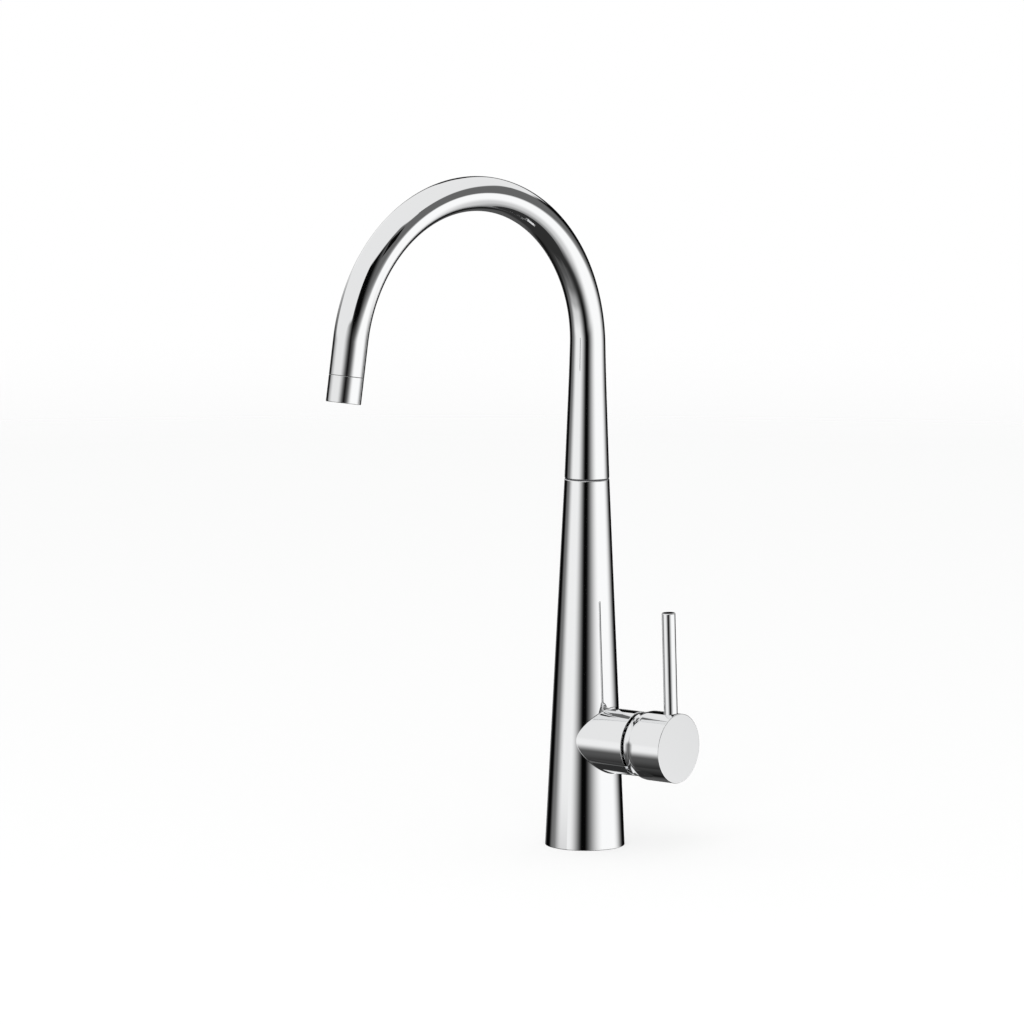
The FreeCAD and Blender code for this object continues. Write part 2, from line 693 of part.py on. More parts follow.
def lever_seat(radius, foot):
    """Cylinder up the lever's line, from its foot to its tip."""
    return Part.makeCylinder(radius, LEVER_LENGTH - foot, Vector(lever_x, 0, BRANCH_HEIGHT + foot), UP)


def handle_cap():
    inner = collar_radius - CAP_WALL
    rise = CAP_RADIUS - collar_radius
    start_x = cap_rear_x + EDGE_BEVEL
    hollow = turned_on_branch([
        (cap_rear_x, 0),
        (cap_rear_x, inner),
        (start_x, inner),
    ] + flare(start_x, inner, rise) + [
        (web_x, CAP_RADIUS - CAP_WALL),
        (web_x, 0),
    ])
    boss = along_branch(INSERT_RADIUS + BOSS_WALL, boss_x, web_x)
    cap = cap_skin().cut(hollow).fuse(boss)
    bore = along_branch(INSERT_RADIUS + FIXED_GAP, boss_x, insert_top_x)
    seat = lever_seat(LEVER_RADIUS + FIXED_GAP, lever_foot())
    stud = lever_seat(LEVER_STUD_RADIUS + FIXED_GAP, LEVER_STUD_FOOT)
    grub = grub_line(GRUB_RADIUS + FIXED_GAP, 0, INSERT_RADIUS + BOSS_WALL)
    cover = grub_line(COVER_RADIUS + FIXED_GAP, INSERT_RADIUS + BOSS_WALL, CAP_RADIUS)
    return leaned(cap.cut([bore, seat, stud, grub, cover]))


def lever_foot():
    """Height above the branch axis of the flat seat that the lever stands on."""
    return math.sqrt(CAP_RADIUS ** 2 - LEVER_RADIUS ** 2) - CAP_WALL


def handle_insert():
    bush = along_branch(INSERT_RADIUS, boss_x, insert_top_x)
    half = SHANK_HALF_WIDTH + FIXED_GAP
    socket = branch_block(boss_x, insert_top_x, half, -half, half)
    grub = grub_line(GRUB_RADIUS + FIXED_GAP, 0, INSERT_RADIUS + BOSS_WALL)
    return leaned(bush.cut([socket, grub]))


def lever():
    top = BRANCH_HEIGHT + LEVER_LENGTH
    foot = BRANCH_HEIGHT + lever_foot()
    stud_foot = BRANCH_HEIGHT + LEVER_STUD_FOOT
    rod = turned([
        (0, stud_foot),
        (LEVER_STUD_RADIUS, stud_foot),
        (LEVER_STUD_RADIUS, foot),
        (LEVER_RADIUS, foot),
        (LEVER_RADIUS, top - LEVER_TIP_BEVEL),
        (LEVER_RADIUS - LEVER_TIP_BEVEL, top),
        (0, top),
    ])
    rod.translate(Vector(lever_x, 0, 0))
    return leaned(rod)


def grub_screw():
    start = SHANK_HALF_WIDTH + FIXED_GAP
    return leaned(grub_line(GRUB_RADIUS, start, start + GRUB_LENGTH))


def screw_cover():
    plug = grub_line(COVER_RADIUS, CAP_RADIUS - CAP_WALL - COVER_DEPTH, CAP_RADIUS)
    return leaned(plug.common(cap_skin()))


# ---------------------------------------------------------------- spout
def spout():
    foot = spout_foot
    cone = turned([
        (0, foot),
        (neck_radius(foot) - EDGE_BEVEL, foot),
        (neck_radius(foot + EDGE_BEVEL), foot + EDGE_BEVEL),
        (TUBE_RADIUS, TAPER_TOP),
        (0, TAPER_TOP),
    ])
    skin = cone.fuse(arch(TUBE_RADIUS, TAPER_TOP - CUT_MARGIN, END_STRAIGHT)).removeSplitter()
    bore_radius = TUBE_RADIUS - TUBE_WALL
    counterbore = socket_radius - FIXED_GAP
    hollow = turned([
        (0, foot),
        (counterbore, foot),
        (counterbore, spigot_head_top),
        (neck_radius(spigot_head_top) - TUBE_WALL, spigot_head_top),
        (bore_radius, TAPER_TOP),
        (0, TAPER_TOP),
    ])
    hollow = hollow.fuse(arch(bore_radius, TAPER_TOP - CUT_MARGIN, END_STRAIGHT)).removeSplitter()
    return headed(skin.cut(hollow))


def spout_spigot():
    head_radius = socket_radius - 2 * FIXED_GAP
    solid = turned([
        (SPIGOT_BORE_RADIUS, spigot_bottom),
        (SPIGOT_RADIUS, spigot_bottom),
        (SPIGOT_RADIUS, spout_foot),
        (head_radius, spout_foot),
        (head_radius, spigot_head_top),
        (SPIGOT_BORE_RADIUS, spigot_head_top),
    ])
    grooves = []
    for drop in GLIDE_RING_DROPS:
        low = SEAM_HEIGHT - drop
        grooves.append(tube(SOCKET_BORE_RADIUS, glide_inner, low, low + GLIDE_LENGTH))
    for drop in O_RING_DROPS:
        middle = SEAM_HEIGHT - drop
        half = O_RING_SECTION + O_RING_SIDE_GAP
        inner = o_ring_radius - O_RING_SECTION - FIXED_GAP
        grooves.append(tube(SOCKET_BORE_RADIUS, inner, middle - half, middle + half))
    middle = SEAM_HEIGHT - CLIP_DROP
    half = CLIP_THICKNESS / 2 + TURN_GAP
    grooves.append(tube(SOCKET_BORE_RADIUS, SPIGOT_RADIUS - CLIP_DEPTH, middle - half, middle + half))
    return solid.cut(grooves)


def glide_ring(drop):
    low = SEAM_HEIGHT - drop
    return tube(glide_radius, glide_inner + FIXED_GAP, low, low + GLIDE_LENGTH)


def spout_o_rings():
    return Part.makeCompound([
        ring(o_ring_radius, O_RING_SECTION, SEAM_HEIGHT - drop) for drop in O_RING_DROPS
    ])


def retaining_clip():
    low = SEAM_HEIGHT - CLIP_DROP - CLIP_THICKNESS / 2
    outer = SOCKET_BORE_RADIUS + CLIP_BITE - RUNNING_GAP
    inner = SPIGOT_RADIUS - CLIP_DEPTH + FIXED_GAP
    closed = tube(outer, inner, low, low + CLIP_THICKNESS)
    place = Vector(0, 0, low)
    mouth = Part.makeCylinder(outer + CUT_MARGIN, CLIP_THICKNESS, place, UP, CLIP_MOUTH)
    return closed.cut(mouth)


def filtered_hose():
    foot = filtered_riser_top + TUBE_END_GAP
    end = END_STRAIGHT + HOSE_IN_NOZZLE
    return headed(arch(FILTERED_RADIUS, foot, end).cut(arch(filtered_bore, foot, end)))


# ---------------------------------------------------------------- outlet
def outlet_housing():
    joint_radius = TUBE_RADIUS - TUBE_WALL - FIXED_GAP
    bore = joint_radius - OUTLET_WALL
    start = OUTLET_SEAL_THICKNESS
    housing = turned([
        (bore, -OUTLET_SOCKET),
        (joint_radius, -OUTLET_SOCKET),
        (joint_radius, start),
        (TUBE_RADIUS, start),
        (TUBE_RADIUS, OUTLET_LENGTH - EDGE_BEVEL),
        (TUBE_RADIUS - EDGE_BEVEL, OUTLET_LENGTH),
        (bore - OUTLET_LIP_WIDTH, OUTLET_LENGTH),
        (bore - OUTLET_LIP_WIDTH, OUTLET_LENGTH - OUTLET_LIP),
        (bore, OUTLET_LENGTH - OUTLET_LIP),
    ])
    return at_outlet(housing)


def outlet_bore():
    """Radius of the bore that holds the outlet's inner pieces."""
    return TUBE_RADIUS - TUBE_WALL - FIXED_GAP - OUTLET_WALL


def outlet_seal():
    outer = TUBE_RADIUS - OUTLET_SEAL_RECESS
    return at_outlet(tube(outer, TUBE_RADIUS - TUBE_WALL, 0, OUTLET_SEAL_THICKNESS))


def outlet_screen():
    outer = outlet_bore() - FIXED_GAP
    inner = FILTERED_RADIUS + NOZZLE_WALL + 2 * FIXED_GAP
    screen = tube(outer, inner, SCREEN_PLACE, SCREEN_PLACE + SCREEN_THICKNESS)
    holes = []
    for index in range(SCREEN_HOLES):
        angle = math.radians(360 / SCREEN_HOLES * index)
        middle = (outer + inner) / 2
        x = middle * math.cos(angle)
        y = middle * math.sin(angle)
        holes.append(upright(SCREEN_HOLE_RADIUS, SCREEN_PLACE, SCREEN_PLACE + SCREEN_THICKNESS, x, y))
    return at_outlet(screen.cut(holes))


def outlet_fins():
    top = OUTLET_LENGTH - OUTLET_LIP
    bottom = top - FINS_LENGTH
    outer = outlet_bore() - FIXED_GAP
    inner = FILTERED_RADIUS + NOZZLE_WALL + FIXED_GAP
    rim = tube(outer, outer - FINS_RIM, bottom, top)
    hub = tube(inner + FINS_RIM, inner, bottom, top)
    fins = []
    for index in range(FIN_COUNT):
        length = outer - inner - FINS_RIM
        corner = Vector(inner + FINS_RIM / 2, -FIN_THICKNESS / 2, bottom)
        fin = Part.makeBox(length, FIN_THICKNESS, FINS_LENGTH, corner)
        fins.append(fin.rotate(Vector(0, 0, 0), UP, 360 / FIN_COUNT * index))
    return at_outlet(rim.fuse([hub] + fins).removeSplitter())


def filtered_nozzle():
    outer = FILTERED_RADIUS + NOZZLE_WALL
    top = OUTLET_LENGTH - NOZZLE_RECESS
    nozzle = turned([
        (FILTERED_RADIUS + FIXED_GAP, 0),
        (outer, 0),
        (outer, top - EDGE_BEVEL),
        (outer - EDGE_BEVEL, top),
        (NOZZLE_BORE, top),
        (NOZZLE_BORE, HOSE_IN_NOZZLE),
        (FILTERED_RADIUS + FIXED_GAP, HOSE_IN_NOZZLE),
    ])
    return at_outlet(nozzle)


# ---------------------------------------------------------------- the assembly
def assembly():
    """Every node by name."""
    nodes = {
        "body_shell": body_shell(),
        "inlet_manifold": inlet_manifold(),
        "base_seal": base_seal(),
    }
    for name, (x, y) in supply_places().items():
        nodes[name + "_supply_tube"] = supply_tube(x, y)
    nodes.update({
        "cartridge_seat": cartridge_seat(),
        "mixed_riser_tube": mixed_riser_tube(),
        "filtered_riser_tube": filtered_riser_tube(),
        "swivel_socket": swivel_socket(),
        "filter_tube_seal": filter_tube_seal(),
        "swivel_washer": swivel_washer(),
        "cartridge_base": cartridge_base(),
        "port_seals": port_seals(),
        "fixed_disc": fixed_disc(),
        "cartridge_housing": cartridge_housing(),
        "cartridge_nut": cartridge_nut(),
        "neck_trim": neck_trim(),
        "cartridge_carrier": cartridge_carrier(),
        "pivot_pin": pivot_pin(),
        "moving_disc": moving_disc(),
        "disc_driver": disc_driver(),
        "spindle": spindle(),
        "handle_insert": handle_insert(),
        "handle_cap": handle_cap(),
        "lever": lever(),
        "grub_screw": grub_screw(),
        "screw_cover": screw_cover(),
        "spout": spout(),
        "spout_spigot": spout_spigot(),
        "upper_glide_ring": glide_ring(GLIDE_RING_DROPS[0]),
        "lower_glide_ring": glide_ring(GLIDE_RING_DROPS[1]),
        "spout_o_rings": spout_o_rings(),
        "retaining_clip": retaining_clip(),
        "filtered_hose": filtered_hose(),
        "outlet_housing": outlet_housing(),
        "outlet_seal": outlet_seal(),
        "outlet_screen": outlet_screen(),
        "outlet_fins": outlet_fins(),
        "filtered_nozzle": filtered_nozzle(),
    })
    return nodes


os.makedirs("parts", exist_ok=True)
for node, solid in assembly().items():
    solid.exportStep("parts/" + node + ".step")
    print(node, len(solid.Solids), round(solid.Volume, 1), solid.isValid())
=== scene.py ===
"""Finished look of a three way filtered water tap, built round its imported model.

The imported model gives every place. Lengths are in metres, angles in degrees. The origin is the
centre of the base on the worktop, +Z is up and +X runs out along the handle's branch.
"""

import json
import logging
import math
from dataclasses import dataclass
from enum import Enum
from typing import Iterable, Sequence

import bmesh
import bpy
from mathutils import Matrix, Quaternion, Vector


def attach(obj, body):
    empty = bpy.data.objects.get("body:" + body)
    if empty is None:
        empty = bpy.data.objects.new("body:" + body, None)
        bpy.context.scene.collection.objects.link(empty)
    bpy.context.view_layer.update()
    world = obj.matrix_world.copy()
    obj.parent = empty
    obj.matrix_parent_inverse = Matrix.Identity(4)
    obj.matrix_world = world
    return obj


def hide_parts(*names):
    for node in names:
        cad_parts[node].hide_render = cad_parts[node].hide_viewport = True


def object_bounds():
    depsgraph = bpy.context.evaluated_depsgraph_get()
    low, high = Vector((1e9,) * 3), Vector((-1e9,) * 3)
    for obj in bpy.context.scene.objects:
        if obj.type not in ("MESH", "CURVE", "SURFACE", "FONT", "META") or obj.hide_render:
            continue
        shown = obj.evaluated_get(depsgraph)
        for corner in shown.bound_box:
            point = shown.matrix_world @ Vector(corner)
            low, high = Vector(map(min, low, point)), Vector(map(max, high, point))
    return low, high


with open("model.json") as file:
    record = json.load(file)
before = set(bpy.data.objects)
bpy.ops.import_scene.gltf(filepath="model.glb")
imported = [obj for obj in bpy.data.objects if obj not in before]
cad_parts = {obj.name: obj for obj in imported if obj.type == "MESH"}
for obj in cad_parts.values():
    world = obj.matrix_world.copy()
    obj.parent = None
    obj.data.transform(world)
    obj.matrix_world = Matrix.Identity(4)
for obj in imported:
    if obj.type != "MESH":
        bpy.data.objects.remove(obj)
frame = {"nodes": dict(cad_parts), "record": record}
CAD_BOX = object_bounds()

log = logging.getLogger("tap")

MM = 0.001
FULL_TURN = 2.0 * math.pi
RIGHT_ANGLE = 90.0
STRAIGHT_ANGLE = 180.0
MERGE_DISTANCE = 1e-7
AXIS_RADIUS = 1e-9
SHARP_ANGLE = math.radians(32.0)
BRANCH_HEIGHT = 70.2 * MM
ORIGIN = (0.0, 0.0, 0.0)
UPRIGHT = (0.0, 0.0, 1.0)
EVEN = (1.0, 1.0, 1.0)
MIX_FIRST, MIX_SECOND, MIX_RESULT = 6, 7, 2

Colour = tuple[float, float, float]
Shape = bmesh.types.BMesh
Edge = bmesh.types.BMEdge
Point = bmesh.types.BMVert
Socket = bpy.types.NodeSocket
Value = Socket | float | Sequence[float]


# ---- names shared by the pieces
class Body(Enum):
    """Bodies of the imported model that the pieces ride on."""

    FIXED = "root"
    HANDLE = "handle"
    SPOUT = "spout"


class Slot(Enum):
    """Material slots of the record."""

    CHROME = "chrome_skin"
    BRASS = "turned_brass"
    COPPER = "copper_tube"
    RUBBER = "black_rubber"
    DARK_ACETAL = "dark_acetal"
    WHITE_ACETAL = "white_acetal"
    CERAMIC = "white_ceramic"
    STEEL = "stainless_steel"
    HOSE = "pale_hose"
    PLUG = "grey_plug"


class Steps(Enum):
    """Steps of a full turn, by the size of what is turned."""

    PIN = 64
    SMALL = 96
    ROD = 128
    ROUND = 192
    LARGE = 256


# ---- node trees
class Sheet:
    """A node tree with short calls for the nodes that the finishes and the studio share."""

    def __init__(self, tree: bpy.types.NodeTree) -> None:
        """Starts on the node tree of a material or a world."""
        self.tree = tree

    def fed(self, node: bpy.types.Node, inputs: dict[str | int, Value]) -> bpy.types.Node:
        """Feeds a node's inputs with links and constants.

        Args:
            node: The node.
            inputs: What each input gets, by its name or number.

        Returns:
            The same node.
        """
        for key, value in inputs.items():
            target = node.inputs[key]
            if isinstance(value, Socket):
                self.tree.links.new(value, target)
            else:
                target.default_value = (*value, 1.0) if target.type == "RGBA" else value
        return node

    def node(
        self,
        kind: str,
        inputs: dict[str | int, Value] | None = None,
        **settings: str,
    ) -> bpy.types.Node:
        """Adds a node.

        Args:
            kind: Type name of the node.
            inputs: What its inputs get, by name or number.
            settings: Values of its own properties.

        Returns:
            The new node.
        """
        made = self.tree.nodes.new(kind)
        for name, setting in settings.items():
            setattr(made, name, setting)
        return self.fed(made, inputs or {})

    def place(self, scale: Sequence[float]) -> Socket:
        """Object coordinates, scaled along each axis."""
        vector = self.node("ShaderNodeTexCoord").outputs["Object"]
        return self.node("ShaderNodeMapping", {"Vector": vector, "Scale": scale}).outputs["Vector"]

    def noise(self, scale: float, detail: float, stretch: Sequence[float] = EVEN) -> Socket:
        """Noise from 0 to 1 by its cells in a metre, its octaves and its scale along each axis."""
        inputs = {"Vector": self.place(stretch), "Scale": scale, "Detail": detail}
        return self.node("ShaderNodeTexNoise", inputs).outputs["Fac"]

    def rings(self, scale: float, axis: str, waver: float) -> Socket:
        """Ring marks round an axis, as a lathe leaves them.

        Args:
            scale: Rings in a metre.
            axis: Axis that the rings go round, X, Y or Z.
            waver: How far the rings stray.

        Returns:
            The factor socket, from 0 to 1.
        """
        inputs = {"Vector": self.place(EVEN), "Scale": scale, "Distortion": waver}
        wave = self.node("ShaderNodeTexWave", inputs, wave_type="RINGS", rings_direction=axis)
        return wave.outputs["Fac"]

    def calculate(self, operation: str, *values: Socket | float) -> Socket:
        """Result of a calculation with sockets and numbers."""
        return self.node("ShaderNodeMath", dict(enumerate(values)), operation=operation).outputs[0]

    def span(self, value: Socket, low: float, high: float) -> Socket:
        """Takes a value from 0..1 to low..high."""
        inputs = {"Value": value, "To Min": low, "To Max": high}
        return self.node("ShaderNodeMapRange", inputs).outputs["Result"]

    def rising(self, value: Socket, start: float, full: float, shape: str = "SMOOTHSTEP") -> Socket:
        """Share that goes from 0 at the start value to 1 at the full one."""
        inputs = {"Value": value, "From Min": start, "From Max": full}
        return self.node("ShaderNodeMapRange", inputs, interpolation_type=shape).outputs["Result"]

    def blend(self, share: Socket, first: Socket | Colour, second: Socket | Colour) -> Socket:
        """Blends two colours by the share of the second one."""
        inputs = {"Factor": share, MIX_FIRST: first, MIX_SECOND: second}
        return self.node("ShaderNodeMix", inputs, data_type="RGBA").outputs[MIX_RESULT]

    def relief(self, value: Socket, height: float, strength: float) -> Socket:
        """Normal of a bump with a height in metres and a share of its full effect."""
        inputs = {"Height": value, "Distance": height, "Strength": strength}
        return self.node("ShaderNodeBump", inputs).outputs["Normal"]

    def cover(self, shader: Socket) -> None:
        """Makes a shader the material's surface."""
        self.fed(self.tree.nodes["Material Output"], {"Surface": shader})

    def cleared(self, shader: Socket, share: Socket) -> Socket:
        """Shader that is clear by a share."""
        clear = self.node("ShaderNodeBsdfTransparent").outputs["BSDF"]
        return self.node("ShaderNodeMixShader", {0: share, 1: shader, 2: clear}).outputs["Shader"]


def new_material(name: str) -> tuple[bpy.types.Material, Sheet]:
    """Makes a material.

    Args:
        name: Name of the material.

    Returns:
        The material and its node tree.
    """
    made = bpy.data.materials.new(name)
    made.use_nodes = True
    return made, Sheet(made.node_tree)


def grey(level: float) -> Colour:
    """Even grey of a level."""
    return level, level, level


# ---- finishes
@dataclass(frozen=True)
class Finish:
    """A finish with two close tints and a roughness that varies over the surface."""

    name: str
    dark: Colour
    light: Colour
    smooth: float
    rough: float
    metal: float = 0.0
    patch_scale: float = 60.0
    patch_detail: float = 2.0
    grain_scale: float = 900.0
    grain_detail: float = 4.0
    grain_stretch: Sequence[float] = EVEN
    grain_height: float = 0.01 * MM
    grain_strength: float = 0.1

    def marks(self, sheet: Sheet) -> Socket:
        """Pattern of the surface's fine relief and roughness, from 0 to 1."""
        return sheet.noise(self.grain_scale, self.grain_detail, self.grain_stretch)

    def material(self) -> bpy.types.Material:
        """Builds the material.

        Returns:
            The new material.
        """
        made, sheet = new_material(self.name)
        patches = sheet.noise(self.patch_scale, self.patch_detail)
        marks = self.marks(sheet)
        sheet.fed(sheet.tree.nodes["Principled BSDF"], {
            "Base Color": sheet.blend(patches, self.dark, self.light),
            "Metallic": self.metal,
            "Roughness": sheet.span(marks, self.smooth, self.rough),
            "Normal": sheet.relief(marks, self.grain_height, self.grain_strength),
        })
        return made


@dataclass(frozen=True)
class TurnedMetal(Finish):
    """Metal with the ring marks of a lathe."""

    metal: float = 1.0
    axis: str = "Z"
    ring_scale: float = 900.0
    ring_waver: float = 0.3

    def marks(self, sheet: Sheet) -> Socket:
        """Rings round the lathe's axis, from 0 to 1."""
        return sheet.rings(self.ring_scale, self.axis, self.ring_waver)


FINISHES: dict[Slot, Finish] = {
    Slot.CHROME: Finish(
        name="polished_chrome",
        dark=(0.90, 0.905, 0.91),
        light=(0.925, 0.93, 0.935),
        smooth=0.015,
        rough=0.04,
        metal=1.0,
        patch_scale=14.0,
        grain_scale=260.0,
        grain_detail=3.0,
        grain_stretch=(1.0, 1.0, 0.2),
        grain_height=0.002 * MM,
        grain_strength=0.05,
    ),
    Slot.BRASS: TurnedMetal(
        name="turned_brass_metal",
        dark=(0.70, 0.53, 0.25),
        light=(0.80, 0.64, 0.34),
        smooth=0.22,
        rough=0.38,
        grain_height=0.004 * MM,
        grain_strength=0.3,
    ),
    Slot.COPPER: Finish(
        name="drawn_copper",
        dark=(0.70, 0.38, 0.26),
        light=(0.80, 0.47, 0.34),
        smooth=0.2,
        rough=0.4,
        metal=1.0,
        grain_detail=3.0,
        grain_stretch=(1.0, 1.0, 0.03),
        grain_strength=0.3,
    ),
    Slot.RUBBER: Finish(
        name="moulded_rubber",
        dark=(0.018, 0.018, 0.019),
        light=(0.035, 0.035, 0.036),
        smooth=0.55,
        rough=0.8,
        grain_scale=2400.0,
        grain_strength=0.3,
    ),
    Slot.DARK_ACETAL: Finish(
        name="dark_moulding",
        dark=(0.05, 0.05, 0.055),
        light=(0.085, 0.085, 0.09),
        smooth=0.3,
        rough=0.45,
        grain_scale=1800.0,
    ),
    Slot.WHITE_ACETAL: Finish(
        name="white_moulding",
        dark=(0.78, 0.78, 0.76),
        light=(0.86, 0.86, 0.84),
        smooth=0.28,
        rough=0.42,
        grain_scale=1800.0,
    ),
    Slot.CERAMIC: Finish(
        name="lapped_ceramic",
        dark=(0.84, 0.84, 0.81),
        light=(0.90, 0.90, 0.87),
        smooth=0.06,
        rough=0.14,
        grain_scale=3000.0,
        grain_strength=0.05,
    ),
    Slot.STEEL: TurnedMetal(
        name="stainless_turned",
        dark=(0.54, 0.54, 0.54),
        light=(0.62, 0.62, 0.61),
        smooth=0.2,
        rough=0.34,
        axis="X",
        grain_strength=0.2,
    ),
    Slot.HOSE: Finish(
        name="pale_hose_wall",
        dark=(0.74, 0.76, 0.76),
        light=(0.82, 0.84, 0.84),
        smooth=0.25,
        rough=0.4,
        grain_scale=1200.0,
    ),
    Slot.PLUG: Finish(
        name="grey_cover_plug",
        dark=(0.40, 0.41, 0.42),
        light=(0.46, 0.47, 0.48),
        smooth=0.18,
        rough=0.3,
        grain_scale=1800.0,
    ),
}


class Finishes:
    """The materials by slot, each built once."""

    def __init__(self) -> None:
        """Builds every material."""
        self.materials = {slot: finish.material() for slot, finish in FINISHES.items()}

    def dress_frame(self) -> None:
        """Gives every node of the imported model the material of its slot."""
        slots = {row["node"]: Slot(row["material_slot"]) for row in frame["record"]["subparts"]}
        for name, node in frame["nodes"].items():
            material = self.materials[slots[name]]
            if not node.material_slots:
                node.data.materials.append(material)
            for slot in node.material_slots:
                slot.material = material
            log.info("%s keeps its shape and takes %s", name, material.name)


# ---- shaping
def along_branch() -> Matrix:
    """Matrix from a shape turned about Z to the branch's axis, with its heights along +X."""
    return Matrix.Translation((0.0, 0.0, BRANCH_HEIGHT)) @ Matrix.Rotation(math.pi / 2, 4, "Y")


def moved(shape: Shape, matrix: Matrix) -> Shape:
    """Moves a mesh by a matrix and gives it back."""
    bmesh.ops.transform(shape, matrix=matrix, verts=shape.verts[:])
    return shape


def stored(shape: Shape, name: str) -> bpy.types.Mesh:
    """Stores a mesh.

    Args:
        shape: The mesh, which is used up.
        name: Name to store it under.

    Returns:
        The stored mesh.
    """
    mesh = bpy.data.meshes.new(name)
    shape.to_mesh(mesh)
    shape.free()
    return mesh


def placed(name: str, data: bpy.types.ID) -> bpy.types.Object:
    """Puts an object into the scene.

    Args:
        name: Name of the object.
        data: Its mesh, lamp or camera.

    Returns:
        The object.
    """
    made = bpy.data.objects.new(name, data)
    bpy.context.scene.collection.objects.link(made)
    return made


@dataclass(frozen=True)
class Corner:
    """Corner of a turned profile, with the length of its rounding along each side."""

    radius: float
    height: float
    rounding: float = 0.0
    steps: int = 5


class Turning:
    """Round pieces, from a closed profile of corners that is spun about its axis."""

    HOLD = 0.06 * MM
    LONG_EDGE = 0.4 * MM
    RING_ROUNDING_STEPS = 2

    @classmethod
    def profile(cls, corners: Sequence[Corner]) -> Shape:
        """Draws the profile in the XZ plane, with its corners rounded.

        Args:
            corners: Corners in order round the closed profile.

        Returns:
            A mesh that holds only the profile's edges.
        """
        shape = bmesh.new()
        points = [shape.verts.new((corner.radius, 0.0, corner.height)) for corner in corners]
        shape.faces.new(points)
        for corner, point in zip(corners, points):
            if corner.rounding:
                bmesh.ops.bevel(
                    shape,
                    geom=[point],
                    offset=corner.rounding,
                    offset_type="OFFSET",
                    segments=corner.steps,
                    profile=0.5,
                    affect="VERTICES",
                    clamp_overlap=False,
                    material=-1,
                )
        bmesh.ops.delete(shape, geom=shape.faces[:], context="FACES_ONLY")
        cls.hold_corners(shape)
        return shape

    @classmethod
    def hold_corners(cls, shape: Shape) -> None:
        """Adds a point near both ends of every long edge, so that flat walls shade flat.

        Args:
            shape: Mesh that holds the profile's edges.
        """
        for edge in shape.edges[:]:
            length = edge.calc_length()
            if length > cls.LONG_EDGE:
                first, second = edge.verts
                _, held = bmesh.utils.edge_split(edge, first, cls.HOLD / length)
                rest = next(part for part in held.link_edges if second in part.verts)
                bmesh.utils.edge_split(rest, second, cls.HOLD / (length - cls.HOLD))

    @classmethod
    def spun(cls, corners: Sequence[Corner], steps: Steps = Steps.ROUND) -> Shape:
        """Spins a profile about Z into a closed round solid.

        Args:
            corners: Corners in order round the closed profile.
            steps: Steps of the full turn.

        Returns:
            The solid's mesh.
        """
        shape = cls.profile(corners)
        on_axis = [
            edge
            for edge in shape.edges
            if all(abs(point.co.x) < AXIS_RADIUS for point in edge.verts)
        ]
        bmesh.ops.delete(shape, geom=on_axis, context="EDGES")
        bmesh.ops.spin(
            shape,
            geom=shape.verts[:] + shape.edges[:],
            cent=ORIGIN,
            axis=UPRIGHT,
            angle=FULL_TURN,
            steps=steps.value,
            use_merge=True,
        )
        bmesh.ops.remove_doubles(shape, verts=shape.verts[:], dist=MERGE_DISTANCE)
        bmesh.ops.recalc_face_normals(shape, faces=shape.faces[:])
        return shape

    @classmethod
    def bar(cls, radius: float, low: float, high: float, steps: Steps = Steps.ROUND) -> Shape:
        """A solid round bar between two heights."""
        ends = [Corner(0.0, low), Corner(radius, low), Corner(radius, high), Corner(0.0, high)]
        return cls.spun(ends, steps)

    @classmethod
    def ring(
        cls,
        inner: float,
        outer: float,
        low: float,
        high: float,
        rounding: float = 0.0,
        steps: Steps = Steps.ROUND,
    ) -> Shape:
        """A round wall between two radii and two heights.

        Args:
            inner: Inner radius.
            outer: Outer radius.
            low: Height of its lower end.
            high: Height of its upper end.
            rounding: Rounding of its edges.
            steps: Steps of the full turn.

        Returns:
            The wall's mesh.
        """
        corners = ((inner, low), (outer, low), (outer, high), (inner, high))
        return cls.spun([
            Corner(radius, height, rounding, cls.RING_ROUNDING_STEPS) for radius, height in corners
        ], steps)


class Workshop:
    """Turns finished meshes into pieces of the object."""

    def __init__(self, finishes: Finishes) -> None:
        """Starts with the materials by slot."""
        self.finishes = finishes

    def piece(self, shape: Shape, name: str, slot: Slot, body: Body, node: str) -> None:
        """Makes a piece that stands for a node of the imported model.

        Args:
            shape: The piece's mesh, which is used up.
            name: Name of the piece.
            slot: Material slot.
            body: Body that the piece rides on.
            node: Node that it stands for.
        """
        mesh = stored(shape, name)
        mesh.shade_smooth()
        mesh.set_sharp_from_angle(angle=SHARP_ANGLE)
        mesh.materials.append(self.finishes.materials[slot])
        made = placed(name, mesh)
        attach(made, body.value)
        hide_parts(node)
        log.info("%s: %d faces, on %s", name, len(mesh.polygons), body.value)

    @staticmethod
    def carved(shape: Shape, cutters: Iterable[Shape]) -> Shape:
        """Cuts closed shapes out of another.

        Args:
            shape: The closed mesh to cut, which is used up.
            cutters: The closed meshes to take away, which are used up.

        Returns:
            The cut mesh.
        """
        blank = placed("blank", stored(shape, "blank"))
        tools = [placed("cutter", stored(cutter, "cutter")) for cutter in cutters]
        for tool in tools:
            cut = blank.modifiers.new("cut", "BOOLEAN")
            cut.operation = "DIFFERENCE"
            cut.solver = "EXACT"
            cut.object = tool
        state = bpy.context.evaluated_depsgraph_get()
        result = bpy.data.meshes.new_from_object(blank.evaluated_get(state))
        made = bmesh.new()
        made.from_mesh(result)
        bpy.data.meshes.remove(result)
        for left in [blank, *tools]:
            mesh = left.data
            bpy.data.objects.remove(left)
            bpy.data.meshes.remove(mesh)
        return made

    @staticmethod
    def joined(shapes: Iterable[Shape]) -> Shape:
        """Puts several meshes into one.

        Args:
            shapes: The meshes, which are used up.

        Returns:
            The joined mesh.
        """
        whole = bmesh.new()
        for shape in shapes:
            passing = stored(shape, "passing")
            whole.from_mesh(passing)
            bpy.data.meshes.remove(passing)
        return whole


